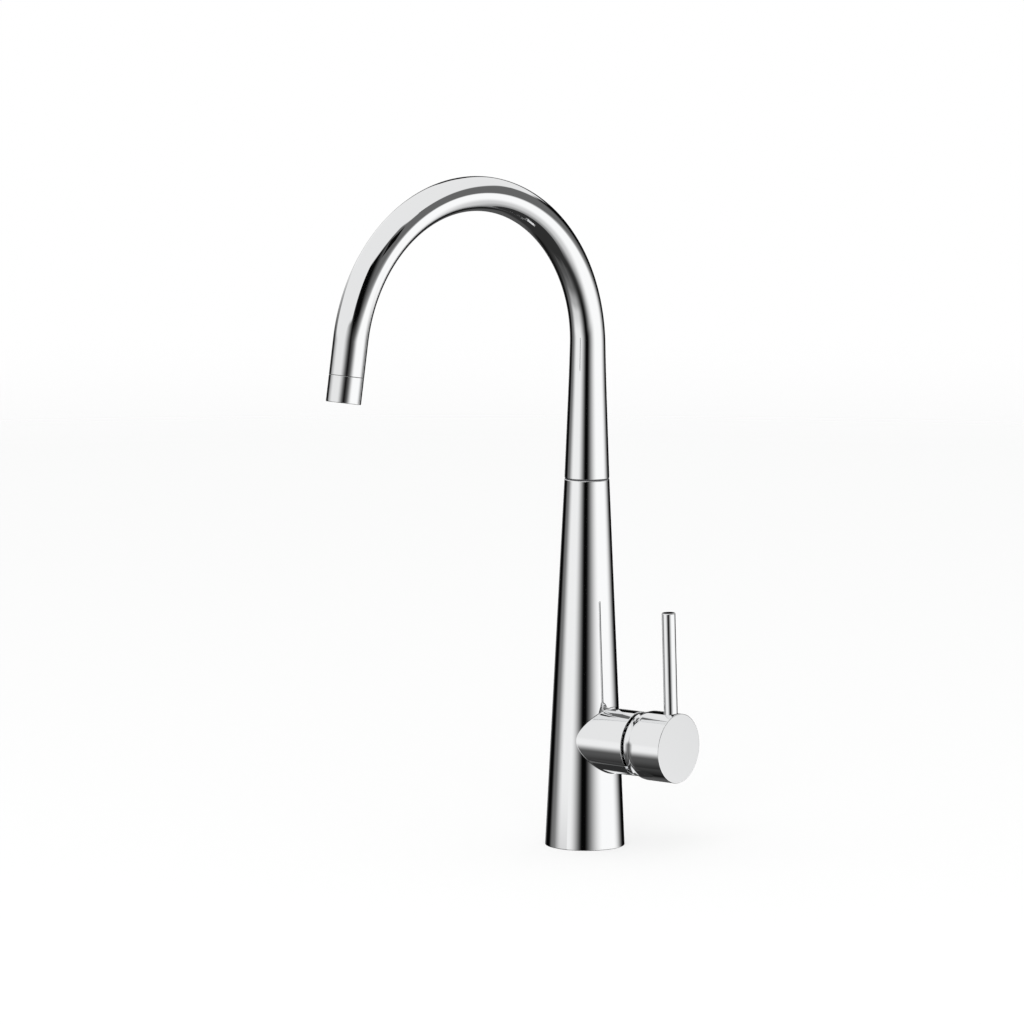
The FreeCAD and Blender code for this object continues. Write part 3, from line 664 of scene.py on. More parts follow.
# ---- fixed body
@dataclass
class TaperedBody:
    """The tapered shell with the collar at its side and the washer on its top."""

    base_radius: float = 25.8 * MM
    seam_radius: float = 14.5 * MM
    seam_height: float = 238.4 * MM
    wall: float = 2.0 * MM
    edge: float = 0.45 * MM
    socket_bottom: float = 192.0 * MM
    collar_radius: float = 20.85 * MM
    collar_bore: float = 17.45 * MM
    collar_start: float = 4.0 * MM
    collar_reach: float = 43.7 * MM
    blend: float = 1.0 * MM
    blend_steps: int = 10
    blend_turn: int = 360
    cut_band: float = 2.0 * MM
    washer_thickness: float = 0.75 * MM
    washer_recess: float = 0.35 * MM
    washer_bore: float = 9.55 * MM

    def radius_at(self, height: float) -> float:
        """Outer radius of the taper at a height."""
        return self.base_radius + (self.seam_radius - self.base_radius) * height / self.seam_height

    def taper(self) -> Shape:
        """The tapered shell, open into the collar.

        Returns:
            The shell's mesh.
        """
        neck = self.seam_radius - self.wall
        shell = Turning.spun([
            Corner(self.base_radius, 0.0, self.edge),
            Corner(self.seam_radius, self.seam_height, self.edge),
            Corner(neck, self.seam_height),
            Corner(neck, self.socket_bottom),
            Corner(self.radius_at(self.socket_bottom) - self.wall, self.socket_bottom),
            Corner(self.base_radius - self.wall, 0.0),
        ], Steps.LARGE)
        reach = self.collar_radius + 2.0 * self.cut_band
        low = BRANCH_HEIGHT - reach
        rings = math.ceil(2.0 * reach / self.cut_band)
        for index in range(rings + 1):
            bmesh.ops.bisect_plane(
                shell,
                geom=shell.verts[:] + shell.edges[:] + shell.faces[:],
                plane_co=(0.0, 0.0, low + index * self.cut_band),
                plane_no=UPRIGHT,
            )
        bore = Turning.bar(self.collar_bore, 0.0, self.collar_reach)
        return Workshop.carved(shell, [moved(bore, along_branch())])

    def collar(self) -> Shape:
        """The collar that holds the cartridge.

        Returns:
            The collar's mesh.
        """
        tube = Turning.spun([
            Corner(self.collar_bore, self.collar_start),
            Corner(self.collar_radius, self.collar_start),
            Corner(self.collar_radius, self.collar_reach, self.edge),
            Corner(self.collar_bore, self.collar_reach, self.edge / 2.0),
        ])
        return moved(tube, along_branch())

    def junction(self) -> Shape:
        """The small hollow blend where the collar leaves the taper.

        A ball that rolls in the corner touches the collar and the taper. The blend is the arc
        between the two touching points, carried once round the collar.

        Returns:
            The blend's mesh.
        """
        slope = math.atan((self.base_radius - self.seam_radius) / self.seam_height)
        strip = bmesh.new()
        bmesh.ops.create_grid(
            strip, x_segments=self.blend_steps, y_segments=self.blend_turn, size=0.5
        )
        for point in strip.verts:
            share = point.co.x + 0.5
            turn = (point.co.y + 0.5) * FULL_TURN
            outwards = Vector((0.0, math.sin(turn), math.cos(turn)))
            centre = outwards * (self.collar_radius + self.blend)
            centre.z += BRANCH_HEIGHT
            reach = self.radius_at(centre.z) + self.blend / math.cos(slope)
            centre.x = math.sqrt(reach ** 2 - centre.y ** 2)
            heading = math.atan2(centre.y, centre.x)
            normal = Vector((
                math.cos(heading) * math.cos(slope),
                math.sin(heading) * math.cos(slope),
                math.sin(slope),
            ))
            axis = (-outwards).cross(-normal).normalized()
            swing = Quaternion(axis, share * outwards.angle(normal))
            point.co = centre + swing @ (-outwards * self.blend)
        bmesh.ops.remove_doubles(strip, verts=strip.verts[:], dist=MERGE_DISTANCE)
        outermost = max(strip.faces, key=lambda face: face.calc_center_median().x)
        from_branch = outermost.calc_center_median() - Vector((0.0, 0.0, BRANCH_HEIGHT))
        if outermost.normal.dot(from_branch) < 0.0:
            bmesh.ops.reverse_faces(strip, faces=strip.faces[:])
        return strip

    def washer(self) -> Shape:
        """The thin washer that shows as the seam below the spout.

        Returns:
            The washer's mesh.
        """
        outer = self.seam_radius - self.washer_recess
        top = self.seam_height + self.washer_thickness
        return Turning.ring(self.washer_bore, outer, self.seam_height, top)

    def build(self, shop: Workshop) -> None:
        """Builds and dresses the pieces.

        Args:
            shop: The workshop.
        """
        skin = shop.joined([self.taper(), self.collar(), self.junction()])
        shop.piece(skin, "tapered_body", Slot.CHROME, Body.FIXED, "body_shell")
        shop.piece(self.washer(), "seam_washer", Slot.DARK_ACETAL, Body.FIXED, "swivel_washer")


@dataclass
class GrooveTrim:
    """The domed ring that closes the collar's mouth behind the cap."""

    start: float = 39.9 * MM
    top: float = 47.7 * MM
    radius: float = 16.8 * MM
    wall: float = 1.2 * MM
    dome: float = 2.7 * MM
    dome_steps: int = 10
    inner_dome_steps: int = 8
    flange_radius: float = 17.4 * MM
    flange_end: float = 43.35 * MM

    def build(self, shop: Workshop) -> None:
        """Builds and dresses the ring.

        Args:
            shop: The workshop.
        """
        inner = self.radius - self.wall
        lip = self.radius - self.dome - self.wall / 2.0
        ring = Turning.spun([
            Corner(inner, self.start),
            Corner(self.flange_radius, self.start),
            Corner(self.flange_radius, self.flange_end),
            Corner(self.radius, self.flange_end),
            Corner(self.radius, self.top, self.dome, self.dome_steps),
            Corner(lip, self.top),
            Corner(lip, self.top - self.wall),
            Corner(inner, self.top - self.wall, self.dome - self.wall, self.inner_dome_steps),
        ])
        trim = moved(ring, along_branch())
        shop.piece(trim, "groove_trim", Slot.CHROME, Body.FIXED, "neck_trim")


# ---- handle
@dataclass
class Handle:
    """The round cap and its pin lever."""

    rear: float = 46.0 * MM
    face: float = 74.7 * MM
    rear_radius: float = 20.85 * MM
    radius: float = 22.45 * MM
    flare: float = 8.0 * MM
    flare_share: float = 0.998
    flare_steps: int = 14
    wall: float = 1.5 * MM
    web: float = 13.7 * MM
    boss_length: float = 6.0 * MM
    boss_radius: float = 9.0 * MM
    boss_bore: float = 6.55 * MM
    edge: float = 0.45 * MM
    lever_radius: float = 4.4 * MM
    lever_tip: float = 0.6 * MM
    lever_tip_steps: int = 6
    lever_setback: float = 5.75 * MM
    lever_length: float = 87.8 * MM
    lever_foot: float = 20.5 * MM
    stud_radius: float = 3.0 * MM
    stud_foot: float = 9.0 * MM
    lean: float = 2.93
    fit: float = 0.05 * MM
    plug_radius: float = 2.3 * MM

    def leaned(self, place: float) -> Matrix:
        """Matrix from an upright axis to the lever's lean.

        Args:
            place: Place of the axis along the branch.

        Returns:
            The matrix, for a shape whose heights start at the branch's axis.
        """
        centre = Matrix.Translation((0.0, 0.0, BRANCH_HEIGHT))
        lean = centre @ Matrix.Rotation(math.radians(self.lean), 4, "X") @ centre.inverted()
        return lean @ Matrix.Translation((place, 0.0, BRANCH_HEIGHT))

    def at_lever(self) -> Matrix:
        """Matrix from the lever's own axis to its place over the branch."""
        return self.leaned(self.face - self.lever_setback)

    def flare_corners(self, inset: float) -> list[Corner]:
        """The two corners whose roundings make the cap's soft flare.

        Args:
            inset: How far the wall lies below the cap's outer skin.

        Returns:
            The corners in order along the branch.
        """
        start = self.rear + self.edge
        low = self.rear_radius - inset
        high = self.radius - inset
        rise = high - low
        bend = ((self.flare / 2.0) ** 2 + (rise / 2.0) ** 2) / rise
        tangent = bend * math.tan(math.asin(self.flare / 2.0 / bend) / 2.0)
        rounding = self.flare_share * tangent
        return [
            Corner(low, start + tangent, rounding, self.flare_steps),
            Corner(high, start + self.flare - tangent, rounding, self.flare_steps),
        ]

    def lever_hole(self) -> Shape:
        """Cutter for the lever's seat.

        Returns:
            The cutter's mesh.
        """
        radius = self.lever_radius + self.fit
        bar = Turning.bar(radius, self.lever_foot, self.lever_length, Steps.SMALL)
        return moved(bar, self.at_lever())

    def plug_hole(self) -> Shape:
        """Cutter for the grub screw's hole below the cap.

        Returns:
            The cutter's mesh.
        """
        radius = self.plug_radius + self.fit
        bar = Turning.bar(radius, self.boss_radius, self.radius + self.wall, Steps.PIN)
        place = self.face - self.web - self.boss_length / 2.0
        return moved(bar, self.leaned(place) @ Matrix.Rotation(math.pi, 4, "X"))

    def cap(self) -> Shape:
        """The cap, hollow towards the collar and solid at its face.

        Returns:
            The cap's mesh.
        """
        web = self.face - self.web
        boss = web - self.boss_length
        skin = Turning.spun([
            Corner(self.rear_radius, self.rear, self.edge),
            *self.flare_corners(0.0),
            Corner(self.radius, self.face, self.edge),
            Corner(0.0, self.face),
            Corner(0.0, web),
            Corner(self.boss_bore, web),
            Corner(self.boss_bore, boss),
            Corner(self.boss_radius, boss),
            Corner(self.boss_radius, web),
            Corner(self.radius - self.wall, web),
            *reversed(self.flare_corners(self.wall)),
            Corner(self.rear_radius - self.wall, self.rear),
        ], Steps.LARGE)
        return Workshop.carved(moved(skin, along_branch()), [self.lever_hole(), self.plug_hole()])

    def lever(self) -> Shape:
        """The pin lever with its rounded tip and the stud below its shoulder.

        Returns:
            The lever's mesh.
        """
        rod = Turning.spun([
            Corner(0.0, self.stud_foot),
            Corner(self.stud_radius, self.stud_foot),
            Corner(self.stud_radius, self.lever_foot),
            Corner(self.lever_radius, self.lever_foot),
            Corner(self.lever_radius, self.lever_length, self.lever_tip, self.lever_tip_steps),
            Corner(0.0, self.lever_length),
        ], Steps.ROD)
        return moved(rod, self.at_lever())

    def build(self, shop: Workshop) -> None:
        """Builds and dresses the pieces."""
        shop.piece(self.cap(), "handle_cap_skin", Slot.CHROME, Body.HANDLE, "handle_cap")
        shop.piece(self.lever(), "pin_lever", Slot.CHROME, Body.HANDLE, "lever")


# ---- spout
@dataclass
class SwanNeck:
    """The spout: a tapered foot, a long arch and a straight end with its screwed outlet."""

    foot: float = 239.2 * MM
    foot_radius: float = 14.5 * MM
    foot_steps: int = 5
    seam_height: float = 238.4 * MM
    taper_top: float = 325.0 * MM
    radius: float = 11.0 * MM
    wall: float = 1.5 * MM
    edge: float = 0.45 * MM
    taper_end: float = 330.0 * MM
    ease: float = 36.0 * MM
    ease_rings: int = 12
    arch_radius: float = 101.8 * MM
    arch_sweep: float = 171.2
    arch_steps: int = 190
    end_straight: float = 22.2 * MM
    heading: float = -99.7
    sides: int = 144
    outlet_length: float = 17.0 * MM
    outlet_socket: float = 7.0 * MM
    outlet_wall: float = 1.3 * MM
    outlet_lip: float = 1.4 * MM
    outlet_lip_width: float = 0.8 * MM
    seal_thickness: float = 0.3 * MM
    seal_recess: float = 0.2 * MM
    fit: float = 0.05 * MM
    nozzle_radius: float = 3.8 * MM
    nozzle_bore: float = 1.6 * MM
    nozzle_recess: float = 0.6 * MM
    nozzle_socket_radius: float = 3.05 * MM
    nozzle_socket: float = 4.0 * MM
    fin_count: int = 12
    fin_thickness: float = 0.6 * MM
    fins_length: float = 9.0 * MM
    fins_rim: float = 0.9 * MM

    def neck_radius(self, height: float) -> float:
        """Outer radius of the tapered foot, eased into the tube round the taper's end.

        Args:
            height: Height above the worktop, measured along the tube's middle line.

        Returns:
            The radius.
        """
        slope = (self.foot_radius - self.radius) / (self.taper_end - self.seam_height)
        left = self.taper_end - height
        if left >= self.ease:
            return self.radius + slope * left
        return self.radius + slope * max(0.0, left + self.ease) ** 2 / (4.0 * self.ease)

    def headed(self) -> Matrix:
        """Matrix from a spout drawn along +X to its heading."""
        return Matrix.Rotation(math.radians(self.heading), 4, "Z")

    def at_outlet(self) -> Matrix:
        """Matrix from a shape turned about Z to the mouth, with its heights out of the mouth.

        Returns:
            The matrix.
        """
        sweep = math.radians(self.arch_sweep)
        straight = self.end_straight
        end = Vector((
            self.arch_radius * (1.0 - math.cos(sweep)) + straight * math.sin(sweep),
            0.0,
            self.taper_top + self.arch_radius * math.sin(sweep) + straight * math.cos(sweep),
        ))
        return self.headed() @ Matrix.Translation(end) @ Matrix.Rotation(sweep, 4, "Y")

    def tube(self) -> Shape:
        """The bent tube with its tapered foot.

        Returns:
            The tube's mesh.
        """
        shape = bmesh.new()
        bmesh.ops.create_circle(
            shape,
            cap_ends=False,
            radius=self.neck_radius(self.foot) - self.edge,
            segments=self.sides,
            matrix=Matrix.Translation((0.0, 0.0, self.foot)),
        )
        ring = shape.edges[:]
        for height, radius in self.neck_rings():
            ring = self.raised(shape, ring, height, radius)
        sweep = math.radians(self.arch_sweep)
        step = sweep / self.arch_steps
        to_straight = self.taper_end + self.ease - self.taper_top
        eased = math.ceil(to_straight / (self.arch_radius * step))
        for index in range(1, eased + 1):
            radius = self.neck_radius(self.taper_top + self.arch_radius * step * index)
            ring = self.turned_on(shape, ring, step, step * index, radius)
        points = list(dict.fromkeys(point for edge in ring for point in edge.verts))
        arch = bmesh.ops.spin(
            shape,
            geom=points + ring,
            cent=(self.arch_radius, 0.0, self.taper_top),
            axis=(0.0, 1.0, 0.0),
            angle=sweep - step * eased,
            steps=self.arch_steps - eased,
        )
        ring = [item for item in arch["geom_last"] if isinstance(item, Edge)]
        along = Vector((math.sin(sweep), 0.0, math.cos(sweep)))
        for length in (self.edge, self.end_straight - 2.0 * self.edge, self.edge):
            points, ring = self.grown(shape, ring)
            bmesh.ops.translate(shape, vec=along * length, verts=points)
        bmesh.ops.recalc_face_normals(shape, faces=shape.faces[:])
        bmesh.ops.solidify(shape, geom=shape.faces[:], thickness=self.wall)
        return moved(shape, self.headed())

    def neck_rings(self) -> list[tuple[float, float]]:
        """Heights and radii of the rings from the foot's rounded edge up to the arch.

        Returns:
            The rings from the lowest up.
        """
        rings = []
        for index in range(1, self.foot_steps + 1):
            angle = math.pi / 2.0 * index / self.foot_steps
            height = self.foot + self.edge * (1.0 - math.cos(angle))
            rings.append((height, self.neck_radius(height) - self.edge * (1.0 - math.sin(angle))))
        hold = self.foot + self.edge + Turning.HOLD
        rings.append((hold, self.neck_radius(hold)))
        ease_foot = self.taper_end - self.ease
        for index in range(self.ease_rings + 1):
            height = ease_foot + (self.taper_top - ease_foot) * index / self.ease_rings
            rings.append((height, self.neck_radius(height)))
        return rings

    @staticmethod
    def grown(shape: Shape, ring: list[Edge]) -> tuple[list[Point], list[Edge]]:
        """Grows a wall from a ring, with its new ring still in the old one's place.

        Args:
            shape: Mesh of the tube.
            ring: Edges of the ring to start from.

        Returns:
            The points and the edges of the new ring.
        """
        new = bmesh.ops.extrude_edge_only(shape, edges=ring)["geom"]
        points = [item for item in new if isinstance(item, Point)]
        return points, [item for item in new if isinstance(item, Edge)]

    def raised(self, shape: Shape, ring: list[Edge], height: float, radius: float) -> list[Edge]:
        """Grows a wall from a level ring to the next one.

        Args:
            shape: Mesh of the tube.
            ring: Edges of the ring to start from.
            height: Height of the next ring.
            radius: Radius of the next ring.

        Returns:
            The edges of the next ring.
        """
        points, grown = self.grown(shape, ring)
        start = points[0].co
        scale = radius / math.hypot(start.x, start.y)
        bmesh.ops.translate(shape, vec=(0.0, 0.0, height - start.z), verts=points)
        bmesh.ops.scale(shape, vec=(scale, scale, 1.0), verts=points)
        return grown

    def turned_on(
        self,
        shape: Shape,
        ring: list[Edge],
        step: float,
        turn: float,
        radius: float,
    ) -> list[Edge]:
        """Grows a wall from a ring of the arch to the next one.

        Args:
            shape: Mesh of the tube.
            ring: Edges of the ring to start from.
            step: Angle from that ring to the next.
            turn: Angle of the next ring from the arch's start.
            radius: Radius of the next ring.

        Returns:
            The edges of the next ring.
        """
        points, grown = self.grown(shape, ring)
        middle = Vector((self.arch_radius, 0.0, self.taper_top))
        bmesh.ops.rotate(shape, cent=middle, matrix=Matrix.Rotation(step, 3, "Y"), verts=points)
        centre = middle + Vector((-math.cos(turn), 0.0, math.sin(turn))) * self.arch_radius
        scale = radius / (points[0].co - centre).length
        space = Matrix.Translation(-centre)
        bmesh.ops.scale(shape, vec=(scale, scale, scale), space=space, verts=points)
        return grown

    def joint_radius(self) -> float:
        """Radius of the sleeve where it screws into the tube."""
        return self.radius - self.wall - self.fit

    def outlet_bore(self) -> float:
        """Radius of the bore that holds the outlet's inner pieces."""
        return self.joint_radius() - self.outlet_wall

    def outlet(self) -> Shape:
        """The screwed sleeve at the end of the spout.

        Returns:
            The sleeve's mesh.
        """
        joint = self.joint_radius()
        bore = self.outlet_bore()
        lip = bore - self.outlet_lip_width
        fine_edge = self.edge / 3.0
        sleeve = Turning.spun([
            Corner(bore, -self.outlet_socket),
            Corner(joint, -self.outlet_socket),
            Corner(joint, self.seal_thickness),
            Corner(self.radius, self.seal_thickness, fine_edge),
            Corner(self.radius, self.outlet_length, self.edge),
            Corner(lip, self.outlet_length, self.edge),
            Corner(lip, self.outlet_length - self.outlet_lip, fine_edge),
            Corner(bore, self.outlet_length - self.outlet_lip),
        ])
        return moved(sleeve, self.at_outlet())

    def seal(self) -> Shape:
        """The thin seal that shows as the outlet's seam.

        Returns:
            The seal's mesh.
        """
        inner = self.radius - self.wall
        outer = self.radius - self.seal_recess
        return moved(Turning.ring(inner, outer, 0.0, self.seal_thickness), self.at_outlet())

    def nozzle(self) -> Shape:
        """The filtered water's own nozzle in the middle of the mouth.

        Returns:
            The nozzle's mesh.
        """
        top = self.outlet_length - self.nozzle_recess
        tip = Turning.spun([
            Corner(self.nozzle_socket_radius, 0.0),
            Corner(self.nozzle_radius, 0.0),
            Corner(self.nozzle_radius, top, self.edge),
            Corner(self.nozzle_bore, top, self.edge),
            Corner(self.nozzle_bore, self.nozzle_socket),
            Corner(self.nozzle_socket_radius, self.nozzle_socket),
        ], Steps.SMALL)
        return moved(tip, self.at_outlet())

    def fins(self) -> Shape:
        """The star of fins that makes the mixed stream straight.

        Returns:
            The star's mesh.
        """
        top = self.outlet_length - self.outlet_lip
        bottom = top - self.fins_length
        outer = self.outlet_bore() - self.fit
        inner = self.nozzle_radius + self.fit
        soft = self.fin_thickness / 4.0
        parts = [
            Turning.ring(outer - self.fins_rim, outer, bottom, top, soft, Steps.SMALL),
            Turning.ring(inner, inner + self.fins_rim, bottom, top, soft, Steps.SMALL),
        ]
        length = outer - inner - self.fins_rim
        middle = inner + self.fins_rim / 2.0 + length / 2.0
        sizes = Matrix.Diagonal((length, self.fin_thickness, self.fins_length - soft, 1.0))
        place = Matrix.Translation((middle, 0.0, (top + bottom) / 2.0))
        for index in range(self.fin_count):
            fin = bmesh.new()
            turn = Matrix.Rotation(FULL_TURN * index / self.fin_count, 4, "Z")
            bmesh.ops.create_cube(fin, size=1.0, matrix=turn @ place @ sizes)
            bmesh.ops.bevel(
                fin,
                geom=fin.edges[:],
                offset=soft,
                segments=Turning.RING_ROUNDING_STEPS,
                profile=0.5,
                affect="EDGES",
                material=-1,
            )
            parts.append(fin)
        return moved(Workshop.joined(parts), self.at_outlet())

    def build(self, shop: Workshop) -> None:
        """Builds and dresses the pieces.

        Args:
            shop: The workshop.
        """
        spout, white = Body.SPOUT, Slot.WHITE_ACETAL
        shop.piece(self.tube(), "swan_neck", Slot.CHROME, spout, "spout")
        shop.piece(self.outlet(), "outlet_sleeve", Slot.CHROME, spout, "outlet_housing")
        shop.piece(self.seal(), "outlet_seam", Slot.RUBBER, spout, "outlet_seal")
        shop.piece(self.nozzle(), "nozzle_tip", white, spout, "filtered_nozzle")
        shop.piece(self.fins(), "stream_fins", white, spout, "outlet_fins")


# ---- studio
class Tone(Enum):
    """Brightness of a studio card, where 1 is white."""

    BLACK = 0.002
    GROUND = 0.03
    DIM = 0.09
    SHADE = 0.14
    DARK = 0.18
    MIDDLE = 0.33
    CEILING = 0.85
    LIGHT = 0.92
    WHITE = 1.04

    @property
    def colour(self) -> Colour:
        """Grey of the tone."""
        return grey(self.value)


@dataclass(frozen=True)
class Card:
    """A card round the object: its start and end seen from above, and its brightness."""

    start: float
    end: float
    tone: Tone

    @property
    def level(self) -> float:
        """Brightness of the card."""
        return self.tone.value


@dataclass(frozen=True)
class Top:
    """Stretch of the cards' upper edge: its start and end seen from above, and its elevation."""

    start: float
    end: float
    elevation: float

    @property
    def level(self) -> float:
        """Elevation as a share of a right angle."""
        return self.elevation / RIGHT_ANGLE


@dataclass(frozen=True)
class Side:
    """Stretch round the room where a ramp holds: its start and end from above, and its share."""

    start: float
    end: float
    level: float


@dataclass(frozen=True)
class Share:
    """Share that the ramp over the elevation has at one elevation."""

    elevation: float
    level: float


@dataclass(frozen=True)
class Flag:
    """Bent card near the object: its ends seen from above, its two heights and its tones at them.

    One without a tone at its top fades out upwards.
    """

    name: str
    start: float
    end: float
    low: float
    high: float
    tone: Tone
    top_tone: Tone | None


class Room(Sheet):
    """The world's node tree, with levels by the heading and the elevation of a direction."""

    def __init__(self, tree: bpy.types.NodeTree, heading: float) -> None:
        """Finds the heading and the elevation.

        Args:
            tree: Node tree of the world.
            heading: Heading that counts as zero.
        """
        super().__init__(tree)
        direction = self.node("ShaderNodeTexCoord").outputs["Generated"]
        turn = (0.0, 0.0, -math.radians(heading))
        turned = self.node("ShaderNodeMapping", {"Vector": direction, "Rotation": turn})
        parts = self.node("ShaderNodeSeparateXYZ", {"Vector": turned.outputs["Vector"]}).outputs
        angle = self.calculate("ARCTAN2", parts["Y"], parts["X"])
        self.turn = self.rising(angle, -math.pi, math.pi, "LINEAR")
        self.rise = self.calculate("DIVIDE", self.calculate("ARCSINE", parts["Z"]), math.pi / 2.0)

    def ramp(self, value: Socket, stops: Sequence[tuple[float, float]], widest: float) -> Socket:
        """Level that is eased from each stop to the next.

        Args:
            value: Socket with the angle as a place in its range, from 0 to 1.
            stops: Angle and level of each stop, in order.
            widest: Angle that the range reaches to both sides of zero.

        Returns:
            The level's socket.
        """
        made = self.node("ShaderNodeValToRGB", {"Fac": value})
        made.color_ramp.interpolation = "EASE"
        held = made.color_ramp.elements
        held.remove(held[0])
        for index, (angle, level) in enumerate(stops):
            place = (angle + widest) / (2.0 * widest)
            stop = held.new(place) if index else held[0]
            stop.position = place
            stop.color = (*grey(level), 1.0)
        return made.outputs["Color"]

    def around(self, stretches: Sequence[Card | Top | Side]) -> Socket:
        """Level round the room from a row of cards, tops or sides in order."""
        ends = [(angle, part.level) for part in stretches for angle in (part.start, part.end)]
        return self.ramp(self.turn, ends, STRAIGHT_ANGLE)

    def upright(self, shares: Sequence[Share]) -> Socket:
        """Level from the ground to the ceiling, by shares in order of their elevation."""
        stops = [(part.elevation, part.level) for part in shares]
        return self.ramp(self.calculate("MULTIPLY_ADD", self.rise, 0.5, 0.5), stops, RIGHT_ANGLE)


@dataclass
class Studio:
    """White room, pale floor, one soft lamp and the cards that the chrome reflects."""

    view_heading: float = -53.2
    deep_cards: tuple[Card, ...] = (
        Card(-180.0, -168.0, Tone.DIM),
        Card(-146.0, -128.0, Tone.BLACK),
        Card(-109.0, -107.0, Tone.DARK),
        Card(-78.0, -54.0, Tone.LIGHT),
        Card(-9.0, -5.0, Tone.BLACK),
        Card(50.0, 118.0, Tone.WHITE),
        Card(146.0, 152.0, Tone.BLACK),
        Card(166.0, 180.0, Tone.DIM),
    )
    lower_cards: tuple[Card, ...] = (
        Card(-180.0, -177.0, Tone.MIDDLE),
        Card(-145.0, -127.0, Tone.BLACK),
        Card(-109.0, -107.0, Tone.DARK),
        Card(-73.0, -48.0, Tone.LIGHT),
        Card(-9.0, -0.5, Tone.BLACK),
        Card(55.0, 92.0, Tone.WHITE),
        Card(141.0, 168.0, Tone.BLACK),
        Card(177.0, 180.0, Tone.MIDDLE),
    )
    upper_cards: tuple[Card, ...] = (
        Card(-180.0, -171.0, Tone.BLACK),
        Card(-163.0, -149.0, Tone.WHITE),
        Card(-139.0, -126.0, Tone.MIDDLE),
        Card(-112.0, -45.0, Tone.CEILING),
        Card(4.0, 25.0, Tone.BLACK),
        Card(50.0, 122.0, Tone.SHADE),
        Card(138.0, 166.0, Tone.BLACK),
        Card(176.0, 180.0, Tone.BLACK),
    )
    card_tops: tuple[Top, ...] = (
        Top(-180.0, -175.0, 33.0),
        Top(-169.0, -167.0, 20.0),
        Top(-150.0, -126.0, 14.0),
        Top(-110.0, -50.0, 6.0),
        Top(-24.0, -9.0, 17.0),
        Top(2.0, 46.0, 44.0),
        Top(62.0, 110.0, 35.0),
        Top(136.0, 140.0, 24.0),
        Top(152.0, 173.0, 18.0),
        Top(177.0, 180.0, 33.0),
    )
    box_side: tuple[Side, ...] = (
        Side(-180.0, -24.0, 0.0),
        Side(12.0, 134.0, 1.0),
        Side(150.0, 180.0, 0.0),
    )
    front_side: tuple[Side, ...] = (
        Side(-180.0, -150.0, 0.0),
        Side(-124.0, 4.0, 1.0),
        Side(20.0, 180.0, 0.0),
    )
    deep_end: tuple[Share, ...] = (Share(-14.0, 0.0), Share(-8.0, 1.0))
    walls_end: tuple[Share, ...] = (Share(-0.5, 0.0), Share(5.0, 0.55), Share(13.0, 1.0))
    side_depth: tuple[Share, ...] = (Share(-62.0, 0.0), Share(-50.0, 0.9), Share(-20.0, 1.0))
    front_depth: tuple[Share, ...] = (
        Share(-72.0, 0.0),
        Share(-58.0, 0.085),
        Share(-46.0, 0.15),
        Share(-34.0, 0.45),
        Share(-26.0, 0.78),
        Share(-12.0, 1.0),
    )
    box_depth: tuple[Share, ...] = (
        Share(-62.0, 0.0),
        Share(-56.0, 0.25),
        Share(-40.0, 0.62),
        Share(-20.0, 1.0),
        Share(-1.0, 1.0),
        Share(8.0, 0.35),
    )
    flags: tuple[Flag, ...] = (
        Flag("front_flag", 12.0, 30.0, 0.54, 0.64, Tone.BLACK, Tone.BLACK),
        Flag("upper_flag", 40.0, 116.0, 0.455, 0.70, Tone.SHADE, Tone.SHADE),
        Flag("lower_flag", -30.0, 150.0, -0.50, -0.19, Tone.GROUND, Tone.GROUND),
        Flag("side_flag", -98.0, -52.0, -0.15, 0.02, Tone.DIM, None),
        Flag("side_foot", -98.0, -52.0, -0.45, -0.15, Tone.GROUND, Tone.DIM),
    )
    flag_radius: float = 0.36
    flag_steps: int = 48
    top_softness: float = 2.0
    room_level: float = 0.86
    white_level: float = 1.0
    floor_colour: Colour = (0.97, 0.97, 0.97)
    floor_clear: float = 0.65
    floor_radius: float = 9.0
    floor_sides: int = 128
    floor_fade_start: float = 0.6
    floor_fade_end: float = 3.5
    lamp_place: tuple[float, float, float] = (1.2, -2.2, 2.6)
    lamp_size: float = 2.4
    lamp_power: float = 34.0

    def cards(self, room: Room) -> Socket:
        """Everything that the chrome reflects.

        Args:
            room: Node tree of the world.

        Returns:
            The colour socket.
        """
        deep_end = room.upright(self.deep_end)
        lower = room.blend(deep_end, room.around(self.deep_cards), room.around(self.lower_cards))
        side, box = room.upright(self.side_depth), room.upright(self.box_depth)
        depth = room.blend(room.around(self.box_side), side, box)
        front = room.upright(self.front_depth)
        depth = room.blend(room.around(self.front_side), depth, front)
        lower = room.blend(depth, Tone.GROUND.colour, lower)
        walls = room.blend(room.upright(self.walls_end), lower, room.around(self.upper_cards))
        over = room.calculate("SUBTRACT", room.rise, room.around(self.card_tops))
        softness = self.top_softness / RIGHT_ANGLE
        return room.blend(room.rising(over, -softness, softness), walls, Tone.CEILING.colour)

    def build_world(self) -> None:
        """Builds the white room, with the cards that only reflections see."""
        world = bpy.data.worlds.new("studio")
        world.use_nodes = True
        bpy.context.scene.world = world
        room = Room(world.node_tree, self.view_heading)
        path = room.node("ShaderNodeLightPath").outputs
        lit = room.blend(path["Is Glossy Ray"], grey(self.room_level), self.cards(room))
        seen = room.calculate("MAXIMUM", path["Is Camera Ray"], path["Is Transmission Ray"])
        colour = room.blend(seen, lit, grey(self.white_level))
        room.fed(world.node_tree.nodes["Background"], {"Color": colour})

